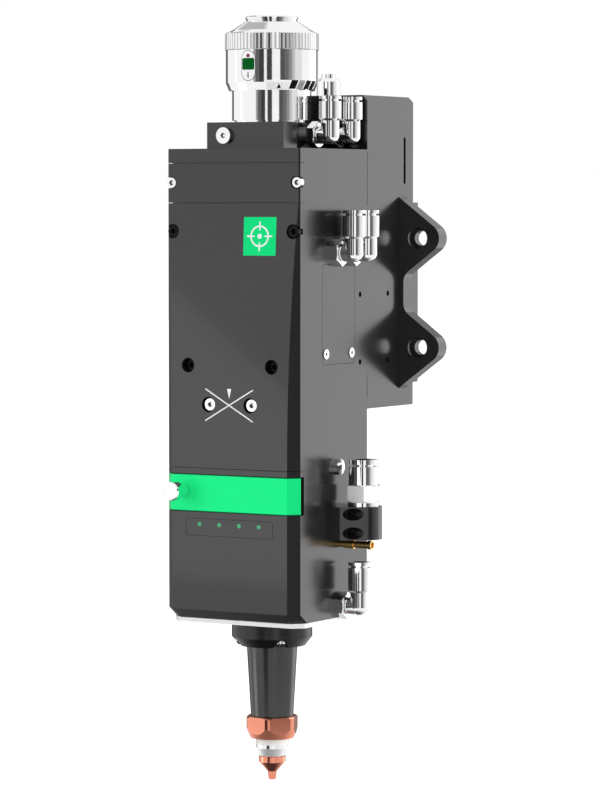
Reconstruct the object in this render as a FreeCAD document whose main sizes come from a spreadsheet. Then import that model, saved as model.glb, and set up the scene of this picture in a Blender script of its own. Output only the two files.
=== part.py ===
import FreeCAD, Part
import math
import os
import Sketcher

# Laser cutting head, hung on a machine by the two ears of its rear housing.
# The origin is the centre of the four mounting holes on the rear face of the ears.
# X points right, Y points back into the machine and Z points up along the beam.

os.makedirs("parts", exist_ok=True)
doc = FreeCAD.newDocument("laser_cutting_head")
sheet = doc.addObject("Spreadsheet::Sheet", "Sizes")

# Driving dimensions in millimetres: word, size, what it measures
SIZES = (
    ("body_width", 90.0, "outside width of main and rear housing"),
    ("body_depth", 80.0, "upper front face to the back of the main housing"),
    ("foot_height", 63.7, "main housing below the drawer"),
    ("body_rise", 86.0, "top of the main housing above the mounting centre"),
    ("front_to_beam", 44.5, "upper front face to the beam axis"),
    ("beam_to_mount", 84.5, "beam axis to the mounting face of the ears"),
    ("front_swell", 4.9, "how far the lower front stands out of the upper front"),
    ("edge_break", 0.8, "side edge behind the upper front face"),
    ("foot_chamfer", 5.6, "chamfer round the bottom of the front"),
    ("seam", 0.3, "open joint line round the covers"),
    ("running_gap", 0.3, "free gap beside parts that move"),
    ("seat_gap", 0.05, "clearance of a sliding or turning fit"),
    ("band_drop", 8.3, "top of the screwed band below the housing top"),
    ("cover_drop", 31.7, "top of the front cover below the housing top"),
    ("cover_height", 155.5, "height of the front cover"),
    ("cover_wrap", 5.7, "depth that the covers wrap round the sides"),
    ("cover_strip", 3.6, "strip of housing between front cover and drawer"),
    ("drawer_height", 21.8, "height of the lens drawer front"),
    ("drawer_face", 6.1, "thickness of the coloured drawer front"),
    ("drawer_flange", 3.4, "thickness of the black flange behind it"),
    ("tray_width", 54.0, "width of the drawer tray"),
    ("tray_height", 15.0, "height of the drawer tray"),
    ("tray_length", 66.0, "length of the drawer tray behind its flange"),
    ("cavity_drop", 14.0, "roof thickness of the main housing"),
    ("cavity_width", 72.0, "width of the drive chamber"),
    ("cavity_depth", 66.0, "depth of the chamber behind the covers"),
    ("cavity_waist_drop", 100.0, "bottom of the wide chamber below the housing top"),
    ("lower_cavity_width", 49.0, "width of the chamber of the centring unit"),
    ("cavity_floor", 7.8, "floor between the chamber and the drawer"),
    ("beam_bore", 26.0, "bore for the beam through the lower housing"),
    ("slot_width", 18.0, "slot for the carriage arm in the back wall"),
    ("slot_clearance", 7.0, "slot above and below the travel of the carriage"),
    ("emblem_size", 22.0, "side of the square plate in the front cover"),
    ("emblem_height", 22.5, "height of the square plate"),
    ("emblem_x", 18.8, "centre of the plate beside the beam"),
    ("emblem_drop", 51.1, "centre of the plate below the housing top"),
    ("emblem_depth", 1.0, "thickness of the plate"),
    ("cap_head", 7.0, "head diameter of the M4 cap screws"),
    ("cap_head_height", 4.0, "head height of the M4 cap screws"),
    ("cap_shank", 4.0, "thread diameter of the M4 cap screws"),
    ("cap_length", 12.0, "thread length of the M4 cap screws"),
    ("cap_socket", 3.0, "hexagon socket of the M4 cap screws"),
    ("under_head", 2.0, "cover left under the heads of its screws"),
    ("cap_recess", 8.7, "diameter of their recesses"),
    ("band_screw_x", 42.7, "band screws beside the beam"),
    ("band_head", 6.0, "head diameter of the band screws"),
    ("band_head_height", 3.2, "head height of the band screws"),
    ("band_shank", 3.0, "thread diameter of the band screws"),
    ("band_recess", 7.6, "diameter of their open recesses"),
    ("band_screw_drop", 19.9, "band screws below the housing top"),
    ("upper_screw_x", 41.0, "upper cover screws beside the beam"),
    ("upper_screw_drop", 48.3, "upper cover screws below the housing top"),
    ("lower_screw_x", 28.4, "lower cover screws beside the beam"),
    ("lower_screw_drop", 126.8, "lower cover screws below the housing top"),
    ("adjuster_x", 14.2, "centring screws beside the beam"),
    ("adjuster_rise", 37.6, "centring screws above the lower end of the front cover"),
    ("adjuster_recess", 9.0, "access hole over a centring screw"),
    ("adjuster_head", 7.0, "head diameter of a centring screw"),
    ("adjuster_head_length", 4.5, "head length of a centring screw"),
    ("adjuster_depth", 2.0, "head below the lower front face"),
    ("adjuster_shank", 5.0, "thread diameter of a centring screw"),
    ("adjuster_socket", 3.0, "hexagon socket of a centring screw"),
    ("light_radius", 1.3, "radius of a status light"),
    ("light_pitch", 13.5, "spacing of the status lights"),
    ("light_drop", 7.5, "status lights below the drawer"),
    ("light_length", 6.0, "length of a status light"),
    ("side_plate_front", 25.9, "front edge of the side cover behind the upper front"),
    ("side_plate_length", 39.1, "length of the side cover"),
    ("side_plate_drop", 67.5, "top of the side cover below the housing top"),
    ("side_plate_height", 59.0, "height of the side cover"),
    ("side_plate_round", 3.0, "corner radius of the side cover"),
    ("side_plate_thickness", 2.0, "thickness of the side cover"),
    ("side_screw_inset", 4.4, "side cover screws from its edges"),
    ("side_screw_rise", 6.3, "side cover screws above its lower edge"),
    ("side_screw_head", 6.2, "head diameter of the side cover screws"),
    ("tapped_hole", 3.3, "tapped holes in the side"),
    ("tapped_depth", 7.0, "depth of the tapped holes"),
    ("tapped_front", 8.7, "front tapped holes before the back of the main housing"),
    ("tapped_pitch", 34.2, "tapped holes along the side"),
    ("tapped_drop", 86.0, "upper tapped holes below the housing top"),
    ("tapped_rise", 40.2, "tapped holes up the side"),
    ("rear_rise", 32.5, "rear housing above the main housing"),
    ("rear_drop", 154.5, "bottom of the rear housing below the main top"),
    ("rear_depth", 57.2, "depth of the rear housing"),
    ("rear_wall", 8.0, "wall of the rear housing"),
    ("rear_chamfer", 3.2, "chamfer along its upper side edges"),
    ("groove_width", 2.6, "width of the slot milled in its side"),
    ("groove_depth", 1.5, "depth of that slot"),
    ("groove_top", 8.2, "top of the slot above the main housing"),
    ("groove_height", 28.5, "height of the slot"),
    ("groove_back", 46.4, "slot behind the back of the main housing"),
    ("ear_front", 118.9, "front face of the ears behind the upper front"),
    ("ear_half_height", 58.0, "ears above and below the mounting centre"),
    ("ear_web", 3.4, "rib that carries the ears"),
    ("ear_tip_radius", 9.0, "round at the tip of an ear"),
    ("ear_apex_x", 78.9, "where the two edges of an ear would meet"),
    ("ear_root_round", 8.0, "fillet between the two ears"),
    ("mount_x", 58.0, "mounting holes beside the beam"),
    ("mount_z", 33.0, "mounting holes above and below the centre"),
    ("mount_bore", 9.0, "mounting holes for M8"),
    ("mount_counterbore", 13.0, "counterbore of the mounting holes"),
    ("mount_counterbore_depth", 5.0, "depth of the counterbore"),
    ("block_half_width", 26.2, "fibre block, wide front part"),
    ("block_neck_half_width", 22.2, "fibre block, narrow part"),
    ("block_inset", 13.7, "fibre block behind the upper front"),
    ("block_step", 15.2, "length of the wide part"),
    ("block_height", 15.6, "height of the fibre block"),
    ("block_screw_x", 13.6, "screw in the front of the block"),
    ("block_screw_rise", 7.8, "that screw above the housing top"),
    ("button_head", 9.6, "head diameter of the button screws"),
    ("button_height", 2.6, "head height of the button screws"),
    ("button_shank", 5.0, "thread diameter of the button screws"),
    ("button_length", 8.0, "thread length of the button screws"),
    ("button_socket", 3.0, "hexagon socket of the button screws"),
    ("socket_bore", 24.0, "bore for the fibre plug"),
    ("collar_undercut_radius", 22.0, "undercut at the foot of the collar"),
    ("collar_undercut", 1.4, "height of that undercut"),
    ("collar_radius", 23.6, "lower cylinder of the collar"),
    ("collar_height", 18.9, "foot of the collar to its step"),
    ("scale_radius", 25.4, "lower edge of the scale cone"),
    ("sleeve_radius", 27.3, "radius of the collar sleeve"),
    ("scale_height", 4.5, "height of the scale cone"),
    ("sleeve_height", 19.2, "height of the sleeve above the cone"),
    ("wheel_radius", 27.9, "radius of the fluted hand wheel"),
    ("wheel_height", 9.2, "height of the fluted part"),
    ("wheel_shoulder", 2.2, "shoulder above the flutes"),
    ("wheel_cone_radius", 23.9, "foot of the upper cone"),
    ("wheel_rim_radius", 15.6, "top of the upper cone"),
    ("wheel_cone_height", 6.0, "height of the upper cone"),
    ("wheel_lip_height", 2.6, "lip on top of that cone"),
    ("wheel_lip_bevel", 0.8, "bevel of the lip"),
    ("wheel_hub", 16.2, "bearing radius inside the hand wheel"),
    ("flute_count", 72.0, "flutes round the hand wheel"),
    ("flute_radius", 0.75, "radius of a flute"),
    ("base_thickness", 2.7, "thickness of the bright base plate"),
    ("base_inset", 0.6, "base plate inside the housing outline"),
    ("flange_radius", 24.1, "sensor collar under the base plate"),
    ("flange_height", 10.7, "straight part of the sensor collar"),
    ("flange_chamfer", 4.0, "chamfer of the sensor collar in radius"),
    ("flange_chamfer_height", 5.3, "chamfer of the sensor collar in height"),
    ("flange_notch", 8.4, "width of the screw notches"),
    ("flange_screw_radius", 19.4, "screws from the beam axis"),
    ("cone_top_radius", 15.2, "nozzle cone at its top"),
    ("cone_low_radius", 12.7, "nozzle cone at its foot"),
    ("cone_height", 42.7, "length of the nozzle cone"),
    ("cone_wall", 3.2, "wall of the nozzle cone"),
    ("lock_radius", 15.8, "lock ring"),
    ("lock_height", 13.0, "height of the lock ring"),
    ("lock_lip", 2.4, "bottom lip of the lock ring"),
    ("lock_low_radius", 13.2, "lower edge of the lock ring"),
    ("lock_cone", 6.0, "height of the lower cone of the lock ring"),
    ("lock_flats", 28.8, "across the six wrench flats of the lock ring"),
    ("ceramic_radius", 9.9, "ceramic ring where it shows"),
    ("ceramic_flange_radius", 12.2, "flange of the ceramic ring"),
    ("ceramic_show", 3.9, "ceramic below the lock ring"),
    ("seat_radius", 9.6, "nozzle seat at its top"),
    ("seat_low_radius", 7.8, "nozzle seat at its foot"),
    ("seat_height", 7.0, "height of the nozzle seat"),
    ("nozzle_radius", 8.1, "collar of the nozzle"),
    ("nozzle_collar", 3.7, "height of that collar"),
    ("nozzle_neck_radius", 2.9, "foot of the nozzle cone"),
    ("nozzle_cone_height", 5.8, "height of the nozzle cone"),
    ("nozzle_tip_radius", 2.2, "tip of the nozzle"),
    ("nozzle_tip_height", 5.0, "height of the tip"),
    ("nozzle_thread", 5.5, "thread radius of the nozzle"),
    ("nozzle_thread_height", 6.0, "thread length of the nozzle"),
    ("orifice", 1.5, "diameter of the nozzle orifice"),
    ("tube", 8.0, "tube for the water elbows"),
    ("elbow_radius", 6.7, "sleeve of an elbow"),
    ("elbow_body_radius", 5.45, "lower body of an elbow"),
    ("elbow_rise", 8.4, "sleeve above the arm axis"),
    ("sleeve_bevel", 1.2, "bevel at the foot of an elbow sleeve"),
    ("arm_radius", 5.3, "arm of an elbow"),
    ("stem_flats", 14.0, "hexagon at the foot of an elbow arm"),
    ("stem_hexagon", 4.8, "length of that hexagon"),
    ("stem_pin", 2.0, "radius of the pin that an elbow swivels on"),
    ("stem_pin_length", 5.0, "length of that pin beyond the hexagon"),
    ("top_spacer", 4.2, "stem between block and hexagon of the top elbows"),
    ("stem_thread", 4.8, "thread radius of a stem"),
    ("stem_thread_length", 6.0, "thread length of a stem"),
    ("release_travel", 1.0, "stroke of a release ring"),
    ("release_flange", 1.9, "height of a release ring's flange"),
    ("gas_release_flange", 2.7, "height of that flange on the gas fitting"),
    ("side_reach", 12.2, "side elbows out of the side face"),
    ("top_reach", 16.4, "top elbows out of the block"),
    ("top_sleeve", 11.3, "sleeve length of the top elbows"),
    ("side_sleeve", 13.4, "sleeve length of the middle elbows"),
    ("low_sleeve", 14.7, "sleeve length of the bottom elbow"),
    ("top_elbow_rise", 8.2, "arms of the top elbows above the housing"),
    ("top_elbow_front", 46.5, "first top elbow behind the upper front"),
    ("top_elbow_back", 8.0, "second top elbow before the back of the main housing"),
    ("side_elbow_drop", 61.0, "arms of the middle elbows below the top"),
    ("side_elbow_front", 42.3, "first middle elbow behind the upper front"),
    ("side_elbow_back", 59.2, "second middle elbow behind the upper front"),
    ("low_elbow_rise", 6.85, "arm of the bottom elbow above the foot of the housing"),
    ("low_elbow_front", 49.0, "bottom elbow behind the upper front"),
    ("gas_rise", 2.7, "top of the gas block above the lower edge of the drawer"),
    ("gas_height", 19.5, "height of the gas block"),
    ("gas_front", 32.0, "front of the gas block behind the upper front"),
    ("gas_nose", 8.5, "straight front of the gas block"),
    ("gas_reach", 14.6, "gas fitting out of the side face"),
    ("gas_centre", 49.5, "gas fitting behind the upper front"),
    ("gas_round", 10.9, "round end of the gas block"),
    ("gas_screw_front", 36.6, "gas block screws behind the upper front"),
    ("gas_screw_pitch", 11.1, "spacing of the gas block screws"),
    ("gas_tube", 10.0, "tube for the cutting gas"),
    ("gas_sleeve_radius", 8.7, "sleeve of the gas fitting"),
    ("gas_sleeve", 10.7, "sleeve length of the gas fitting"),
    ("gas_flats", 19.0, "hexagon of the gas fitting"),
    ("gas_hexagon", 10.2, "length of that hexagon"),
    ("gas_foot", 2.5, "foot between hexagon and block"),
    ("gas_foot_radius", 9.2, "radius of that foot"),
    ("gas_thread", 6.0, "thread radius of the gas fitting"),
    ("gas_thread_length", 8.0, "thread length of the gas fitting"),
    ("gas_channel", 6.0, "gas passage into the beam bore"),
    ("plug_front", 43.5, "port plug behind the upper front"),
    ("plug_rise", 22.9, "port plug above the gas block"),
    ("connector_front", 48.8, "sensor connector behind the upper front"),
    ("connector_gap", 3.45, "sensor connector below the gas block"),
    ("connector_radius", 2.6, "radius of the sensor connector"),
    ("connector_length", 21.0, "sensor connector out of the side"),
    ("gland_back", 32.0, "cable gland behind the back of the main housing"),
    ("gland_radius", 7.1, "radius of the cable gland"),
    ("gland_height", 11.4, "height of the cable gland"),
    ("gland_top_radius", 4.2, "upper ring of the gland"),
    ("gland_top_height", 2.6, "height of that ring"),
    ("gland_bore", 6.0, "cable bore of the gland"),
    ("knob_x", 31.6, "drawer knob beside the beam"),
    ("knob_drop", 9.6, "drawer knob below the top of the drawer"),
    ("knob_radius", 5.5, "head of the drawer knob"),
    ("knob_head", 6.5, "length of that head"),
    ("knob_neck_radius", 4.4, "neck of the drawer knob"),
    ("knob_neck", 7.6, "length of the neck"),
    ("knob_shank_radius", 2.5, "shank of the drawer knob"),
    ("knob_shank", 16.0, "length of the shank"),
    ("lens_radius", 15.0, "collimating lens"),
    ("lens_curve", 60.0, "curvature of the lenses"),
    ("focus_radius", 12.5, "focusing lens"),
    ("lens_thickness", 5.0, "edge thickness of the lenses"),
    ("window_radius", 15.0, "protective windows"),
    ("window_thickness", 2.0, "thickness of the protective windows"),
    ("ring_height", 2.0, "height of a lens retaining ring"),
    ("lens_ledge", 2.0, "ledge that a lens or window lies on"),
    ("carriage_drop", 60.0, "middle of the lens carriage below the top"),
    ("carriage_height", 12.0, "height of the lens carriage"),
    ("carriage_gap", 2.0, "gap between lens carriage and chamber wall"),
    ("carriage_length", 42.0, "depth of the lens carriage"),
    ("carriage_stroke", 11.0, "travel of the carriage each way"),
    ("rail_x", 27.0, "guide rails beside the beam"),
    ("rail_radius", 3.0, "radius of the guide rails"),
    ("screw_back", 28.0, "lead screw behind the back of the main housing"),
    ("screw_radius", 3.0, "radius of the lead screw"),
    ("screw_length", 118.0, "length of the lead screw"),
    ("motor_side", 28.0, "side of the square motor"),
    ("motor_height", 26.0, "height of the motor"),
    ("bearing_height", 8.0, "height of the lower screw bearing"),
    ("nut_radius", 8.0, "flange of the screw nut"),
    ("nut_height", 5.0, "height of the screw nut"),
    ("slide_half_width", 20.0, "half width of a centring slide"),
    ("slide_thickness", 5.0, "thickness of a centring slide"),
    ("slide_corner", 12.0, "slanted corner that a centring screw pushes"),
    ("centring_travel", 1.5, "travel of the centring slides each way"),
    ("slide_lug", 3.0, "thickness of the lug on the lower slide"),
    ("frame_rise", 8.6, "top of the centring frame above its screws"),
    ("frame_wall", 8.0, "front wall of the centring frame"),
    ("slide_relief", 5.0, "corner cut of the lower slide beside its lug"),
    ("slide_collar", 5.0, "collar round the focusing lens"),
    ("flange_screw_length", 10.0, "thread length of the sensor collar screws"),
    ("entry_window_inset", 14.0, "entry window inside the chamber walls"),
)


class Size:
    """A length that knows both its formula in the sheet and its present value."""

    def __init__(self, formula, value):
        self.formula = formula
        self.value = value

    def joined(self, sign, other, value):
        text = other.formula if isinstance(other, Size) else repr(float(other))
        return Size(f"({self.formula} {sign} {text})", value)

    def __add__(self, other):
        return self.joined("+", other, self.value + number(other))

    def __sub__(self, other):
        return self.joined("-", other, self.value - number(other))

    def __mul__(self, other):
        return self.joined("*", other, self.value * number(other))

    def __truediv__(self, other):
        return self.joined("/", other, self.value / number(other))

    def __neg__(self):
        return Size(f"(0 - {self.formula})", -self.value)


def number(size):
    """The present value of a size or of a plain number."""
    return size.value if isinstance(size, Size) else float(size)


class Driving:
    """Holds one Size for each alias of the sheet."""


d = Driving()
for row, (alias, size, note) in enumerate(SIZES, start=1):
    sheet.set(f"A{row}", alias.replace("_", " "))
    sheet.set(f"B{row}", str(size))
    sheet.set(f"C{row}", note)
    sheet.setAlias(f"B{row}", alias)
    setattr(d, alias, Size(f"Sizes.{alias}", size))
doc.recompute()

# Places that several pieces share
side_x = d.body_width / 2
top_z = d.body_rise
beam_y = -d.beam_to_mount
front_y = beam_y - d.front_to_beam
back_y = front_y + d.body_depth
lower_front_y = front_y - d.front_swell
corner_y = front_y + d.edge_break
seat_y = front_y + d.cover_wrap
band_z = top_z - d.band_drop
cover_z = top_z - d.cover_drop
cover_end_z = cover_z - d.cover_height
drawer_z = cover_end_z - d.cover_strip
drawer_end_z = drawer_z - d.drawer_height
floor_z = drawer_end_z - d.foot_height
drawer_seat_y = lower_front_y + d.drawer_face + d.drawer_flange + d.seam
cavity_z = top_z - d.cavity_drop
cavity_floor_z = drawer_z + d.cavity_floor
cavity_back_y = seat_y + d.cavity_depth
rear_end_y = back_y + d.rear_depth
adjuster_z = cover_end_z + d.adjuster_rise
adjuster_y = lower_front_y + d.adjuster_depth
block_z = top_z + d.block_height
base_z = floor_z - d.base_thickness
cone_z = base_z - d.flange_height - d.flange_chamfer_height
lock_z = cone_z - d.cone_height
lock_end_z = lock_z - d.lock_height
ceramic_z = lock_end_z - d.ceramic_show
nozzle_seat_z = ceramic_z - d.seat_height
nozzle_z = nozzle_seat_z - d.nozzle_collar
ear_y = front_y + d.ear_front
screw_y = back_y + d.screw_back
carriage_z = top_z - d.carriage_drop
knob_z = drawer_z - d.knob_drop
light_z = drawer_end_z - d.light_drop
low_elbow_z = floor_z + d.low_elbow_rise
gas_top = drawer_end_z + d.gas_rise
gas_middle = gas_top - d.gas_height / 2
plug_z = gas_top + d.plug_rise
connector_z = gas_top - d.gas_height - d.connector_gap
tapped_y = back_y - d.tapped_front
gland_y = back_y + d.gland_back

nodes = []


def keep(item, name):
    """Name a finished sub-part, so that it is checked and written as a file."""
    item.Label = name
    nodes.append(item)
    return item


def bind(item, name, size):
    """Give a property its value and, if it comes from the sheet, its formula."""
    if isinstance(size, Size):
        item.setExpression(name, size.formula)
    else:
        item.setExpression(name, repr(float(size)))


def put(item, x=0, y=0, z=0, rotation=None):
    """Place an item by sheet values."""
    if rotation:
        item.Placement = FreeCAD.Placement(FreeCAD.Vector(), rotation)
    bind(item, "Placement.Base.x", x)
    bind(item, "Placement.Base.y", y)
    bind(item, "Placement.Base.z", z)
    return item


# Sketches and features of a body

PLANES = {"top": "XY_Plane", "front": "XZ_Plane", "side": "YZ_Plane"}


def new_body(name):
    return keep(doc.addObject("PartDesign::Body", name), name)


def new_sketch(body, plane, level=0, across=0, up=0):
    """A sketch seen from the top, front or side, at a level along its normal."""
    sketch = body.newObject("Sketcher::SketchObject", "sketch")
    role = PLANES[plane]
    face = next(item for item in body.Origin.OriginFeatures if item.Role == role)
    sketch.AttachmentSupport = [(face, "")]
    sketch.MapMode = "FlatFace"
    bind(sketch, "AttachmentOffset.Base.x", across)
    bind(sketch, "AttachmentOffset.Base.y", up)
    bind(sketch, "AttachmentOffset.Base.z", level)
    return sketch


def fix(sketch, kind, *place, size):
    """Add one dimension to a sketch and tie it to the sheet."""
    index = sketch.addConstraint(Sketcher.Constraint(kind, *place, number(size)))
    if isinstance(size, Size):
        sketch.setExpression(f"Constraints[{index}]", size.formula)


def outline(sketch, corners):
    """A closed outline of straight lines through the given corners."""
    points = [FreeCAD.Vector(number(u), number(v), 0) for u, v in corners]
    first = sketch.GeometryCount
    count = len(points)
    for index, point in enumerate(points):
        sketch.addGeometry(Part.LineSegment(point, points[(index + 1) % count]), False)
    for index, (u, v) in enumerate(corners):
        here = first + index
        following = first + (index + 1) % count
        sketch.addConstraint(Sketcher.Constraint("Coincident", here, 2, following, 1))
        fix(sketch, "DistanceX", -1, 1, here, 1, size=u)
        fix(sketch, "DistanceY", -1, 1, here, 1, size=v)
    return sketch


def rectangle(sketch, left, right, low, high):
    return outline(sketch, [(left, low), (right, low), (right, high), (left, high)])


def circle(sketch, u, v, radius):
    centre = FreeCAD.Vector(number(u), number(v), 0)
    index = sketch.addGeometry(Part.Circle(centre, FreeCAD.Vector(0, 0, 1), number(radius)), False)
    fix(sketch, "DistanceX", -1, 1, index, 3, size=u)
    fix(sketch, "DistanceY", -1, 1, index, 3, size=v)
    fix(sketch, "Radius", index, size=radius)
    return sketch


def pad(body, sketch, length, backwards=False):
    feature = body.newObject("PartDesign::Pad", "pad")
    feature.Profile = sketch
    feature.Reversed = backwards
    bind(feature, "Length", length)
    return feature


def pocket(body, sketch, length, backwards=False):
    feature = body.newObject("PartDesign::Pocket", "pocket")
    feature.Profile = sketch
    feature.Reversed = backwards
    bind(feature, "Length", length)
    return feature


def turn(body, corners, plane="front", axis="V_Axis", level=0, across=0, up=0, cut=False):
    """Revolve an outline, or cut it away, about an axis of its sketch."""
    sketch = outline(new_sketch(body, plane, level, across, up), corners)
    kind = "PartDesign::Groove" if cut else "PartDesign::Revolution"
    feature = body.newObject(kind, "turn")
    feature.Profile = sketch
    feature.ReferenceAxis = (sketch, [axis])
    feature.Angle = 360
    return feature


def turned(name, corners, x=0, y=beam_y):
    """A piece turned about an upright axis, from corners of radius and height."""
    body = new_body(name)
    turn(body, corners, level=-y, across=x)
    return body


def edges(feature, wanted):
    """Names of the edges of a feature whose middle passes a test."""
    found = []
    for index, edge in enumerate(feature.Shape.Edges, start=1):
        middle = edge.valueAt((edge.FirstParameter + edge.LastParameter) / 2)
        if wanted(edge, middle):
            found.append(f"Edge{index}")
    return found


def dress(body, kind, size_name, size, wanted):
    """Fillet or chamfer the edges of the last feature that pass a test."""
    doc.recompute()
    base = body.Tip
    feature = body.newObject(f"PartDesign::{kind}", kind.lower())
    feature.Base = (base, edges(base, wanted))
    bind(feature, size_name, size)
    return feature


def close(value, size, reach=0.05):
    return abs(value - number(size)) < reach


def upright(edge):
    ends = [vertex.Point for vertex in edge.Vertexes]
    return len(ends) == 2 and abs(ends[0].z - ends[1].z) > 0.9 * edge.Length


def trim_corners(body, high, low):
    """Cut the two front corners at 45 degrees, up to the side edge line."""
    reach = d.front_swell + d.edge_break + 1
    for side in (1, -1):
        sketch = new_sketch(body, "top", high)
        edge_x = side_x * side
        outline(sketch, [
            (edge_x, corner_y),
            (edge_x - reach * side, corner_y - reach),
            (edge_x + reach * side, corner_y - reach),
            (edge_x + reach * side, corner_y),
        ])
        pocket(body, sketch, high - low)


# Simple solids for booleans and fasteners

TURNS = {
    "up": None,
    "front": FreeCAD.Rotation(FreeCAD.Vector(1, 0, 0), 90),
    "right": FreeCAD.Rotation(FreeCAD.Vector(0, 1, 0), 90),
    "down": FreeCAD.Rotation(FreeCAD.Vector(1, 0, 0), 180),
}


def cylinder(radius, height, z=0):
    item = doc.addObject("Part::Cylinder", "cylinder")
    bind(item, "Radius", radius)
    bind(item, "Height", height)
    return put(item, z=z)


def hexagon(flats, height, z=0):
    item = doc.addObject("Part::Prism", "hexagon")
    item.Polygon = 6
    bind(item, "Circumradius", flats / math.sqrt(3))
    bind(item, "Height", height)
    return put(item, z=z)


def fuse(*pieces):
    item = doc.addObject("Part::MultiFuse", "fuse")
    item.Shapes = list(pieces)
    return item


def cut(base, tool):
    item = doc.addObject("Part::Cut", "cut")
    item.Base = base
    item.Tool = tool
    return item


def group(name, pieces):
    item = doc.addObject("Part::Compound", name)
    item.Links = list(pieces)
    return keep(item, name)


def screw(head, head_height, shank, length, socket, x, y, z, facing):
    """A socket screw whose head stands on the given point and faces outwards."""
    solid = fuse(cylinder(head / 2, head_height), cylinder(shank / 2, length + 1, z=-length))
    tool = hexagon(socket, head_height, z=head_height / 2)
    return put(cut(solid, tool), x, y, z, TURNS[facing])


# The main housing and its covers

def bolt_hole(body, plane, level, u, v, radius, depth, backwards=False):
    """A round hole from a level, against the normal of the plane."""
    sketch = circle(new_sketch(body, plane, level), u, v, radius)
    return pocket(body, sketch, depth, backwards)


def main_housing():
    body = new_body("main_housing")
    side = new_sketch(body, "side", -side_x)
    outline(side, [
        (front_y, top_z),
        (front_y, band_z),
        (seat_y, band_z),
        (seat_y, cover_end_z),
        (lower_front_y, cover_end_z),
        (lower_front_y, drawer_z + d.seam),
        (drawer_seat_y, drawer_z + d.seam),
        (drawer_seat_y, drawer_end_z - d.seam),
        (lower_front_y, drawer_end_z - d.seam),
        (lower_front_y, floor_z),
        (back_y, floor_z),
        (back_y, top_z),
    ])
    pad(body, side, d.body_width)
    trim_corners(body, top_z, floor_z)
    dress(body, "Chamfer", "Size", d.foot_chamfer,
          lambda edge, middle: close(middle.z, floor_z) and middle.y < number(corner_y))

    chamber = new_sketch(body, "front", -seat_y)
    wide = d.cavity_width / 2
    narrow = d.lower_cavity_width / 2
    waist_z = top_z - d.cavity_waist_drop
    outline(chamber, [
        (-wide, cavity_z), (wide, cavity_z), (wide, waist_z), (narrow, waist_z),
        (narrow, cavity_floor_z), (-narrow, cavity_floor_z), (-narrow, waist_z), (-wide, waist_z),
    ])
    pocket(body, chamber, d.cavity_depth)

    middle_z = drawer_z - d.drawer_height / 2
    half = d.tray_width / 2 + d.running_gap
    slot = new_sketch(body, "front", -drawer_seat_y)
    rectangle(slot, -half, half, middle_z - d.tray_height / 2 - d.running_gap,
              middle_z + d.tray_height / 2 + d.running_gap)
    pocket(body, slot, d.tray_length + 1)

    bolt_hole(body, "top", top_z, 0, beam_y, d.socket_bore / 2, d.cavity_drop + 1)
    bolt_hole(body, "top", cavity_floor_z, 0, beam_y, d.beam_bore / 2, cavity_floor_z - floor_z + 1)

    arm = new_sketch(body, "front", -cavity_back_y)
    rectangle(arm, -(d.slot_width / 2), d.slot_width / 2,
              carriage_low - d.nut_height - d.carriage_stroke - d.slot_clearance,
              carriage_high + d.carriage_stroke + d.slot_clearance)
    pocket(body, arm, back_y - cavity_back_y + 1)

    plate_y = front_y + d.side_plate_front
    plate_z = top_z - d.side_plate_drop
    recess = new_sketch(body, "side", side_x)
    rectangle(recess, plate_y, plate_y + d.side_plate_length, plate_z - d.side_plate_height, plate_z)
    pocket(body, recess, d.side_plate_thickness)
    dress(body, "Fillet", "Radius", d.side_plate_round,
          lambda edge, middle: close(middle.x, side_x - d.side_plate_thickness / 2)
          and close(edge.Length, d.side_plate_thickness))
    window = new_sketch(body, "side", side_x)
    rectangle(window, plate_y + 5, plate_y + d.side_plate_length - 5,
              waist_z + 4, plate_z - 5)
    pocket(body, window, side_x - wide + 1)
    for along in (d.side_screw_inset, d.side_plate_length - d.side_screw_inset):
        bolt_hole(body, "side", side_x, plate_y + along,
                  plate_z - d.side_plate_height + d.side_screw_rise, d.band_shank / 2, 9)

    for drop in (d.tapped_drop, d.tapped_drop + d.tapped_rise):
        bolt_hole(body, "side", side_x, tapped_y, top_z - drop, d.tapped_hole / 2, d.tapped_depth)

    stem = d.stem_thread_length + 1
    for y in (d.side_elbow_front, d.side_elbow_back):
        bolt_hole(body, "side", side_x, front_y + y, top_z - d.side_elbow_drop, d.stem_thread, stem)
    bolt_hole(body, "side", side_x, front_y + d.low_elbow_front, low_elbow_z,
              d.stem_thread, stem)
    bolt_hole(body, "side", side_x, front_y + d.gas_centre, gas_middle, d.gas_channel / 2, side_x)
    for step in (-0.5, 0.5):
        bolt_hole(body, "side", side_x, front_y + d.gas_screw_front,
                  gas_middle + d.gas_screw_pitch * step, d.cap_shank / 2, d.cap_length)
    bolt_hole(body, "side", side_x, front_y + d.plug_front, plug_z,
              d.button_shank / 2, d.button_length + 1)
    bolt_hole(body, "side", side_x, front_y + d.connector_front, connector_z,
              d.connector_radius - 0.5, 9)

    for side in (1, -1):
        bolt_hole(body, "front", -seat_y, d.band_screw_x * side, top_z - d.band_screw_drop,
                  d.band_shank / 2, d.cap_length)
        for x, drop in ((d.upper_screw_x, d.upper_screw_drop), (d.lower_screw_x, d.lower_screw_drop)):
            bolt_hole(body, "front", -seat_y, x * side, top_z - drop, d.cap_shank / 2, d.cap_length)
    bolt_hole(body, "front", -drawer_seat_y, -d.knob_x, knob_z,
              d.knob_shank_radius + d.seat_gap, d.knob_shank)
    for step in (-1.5, -0.5, 0.5, 1.5):
        bolt_hole(body, "front", -lower_front_y, d.light_pitch * step, light_z,
                  d.light_radius, d.light_length)


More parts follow.
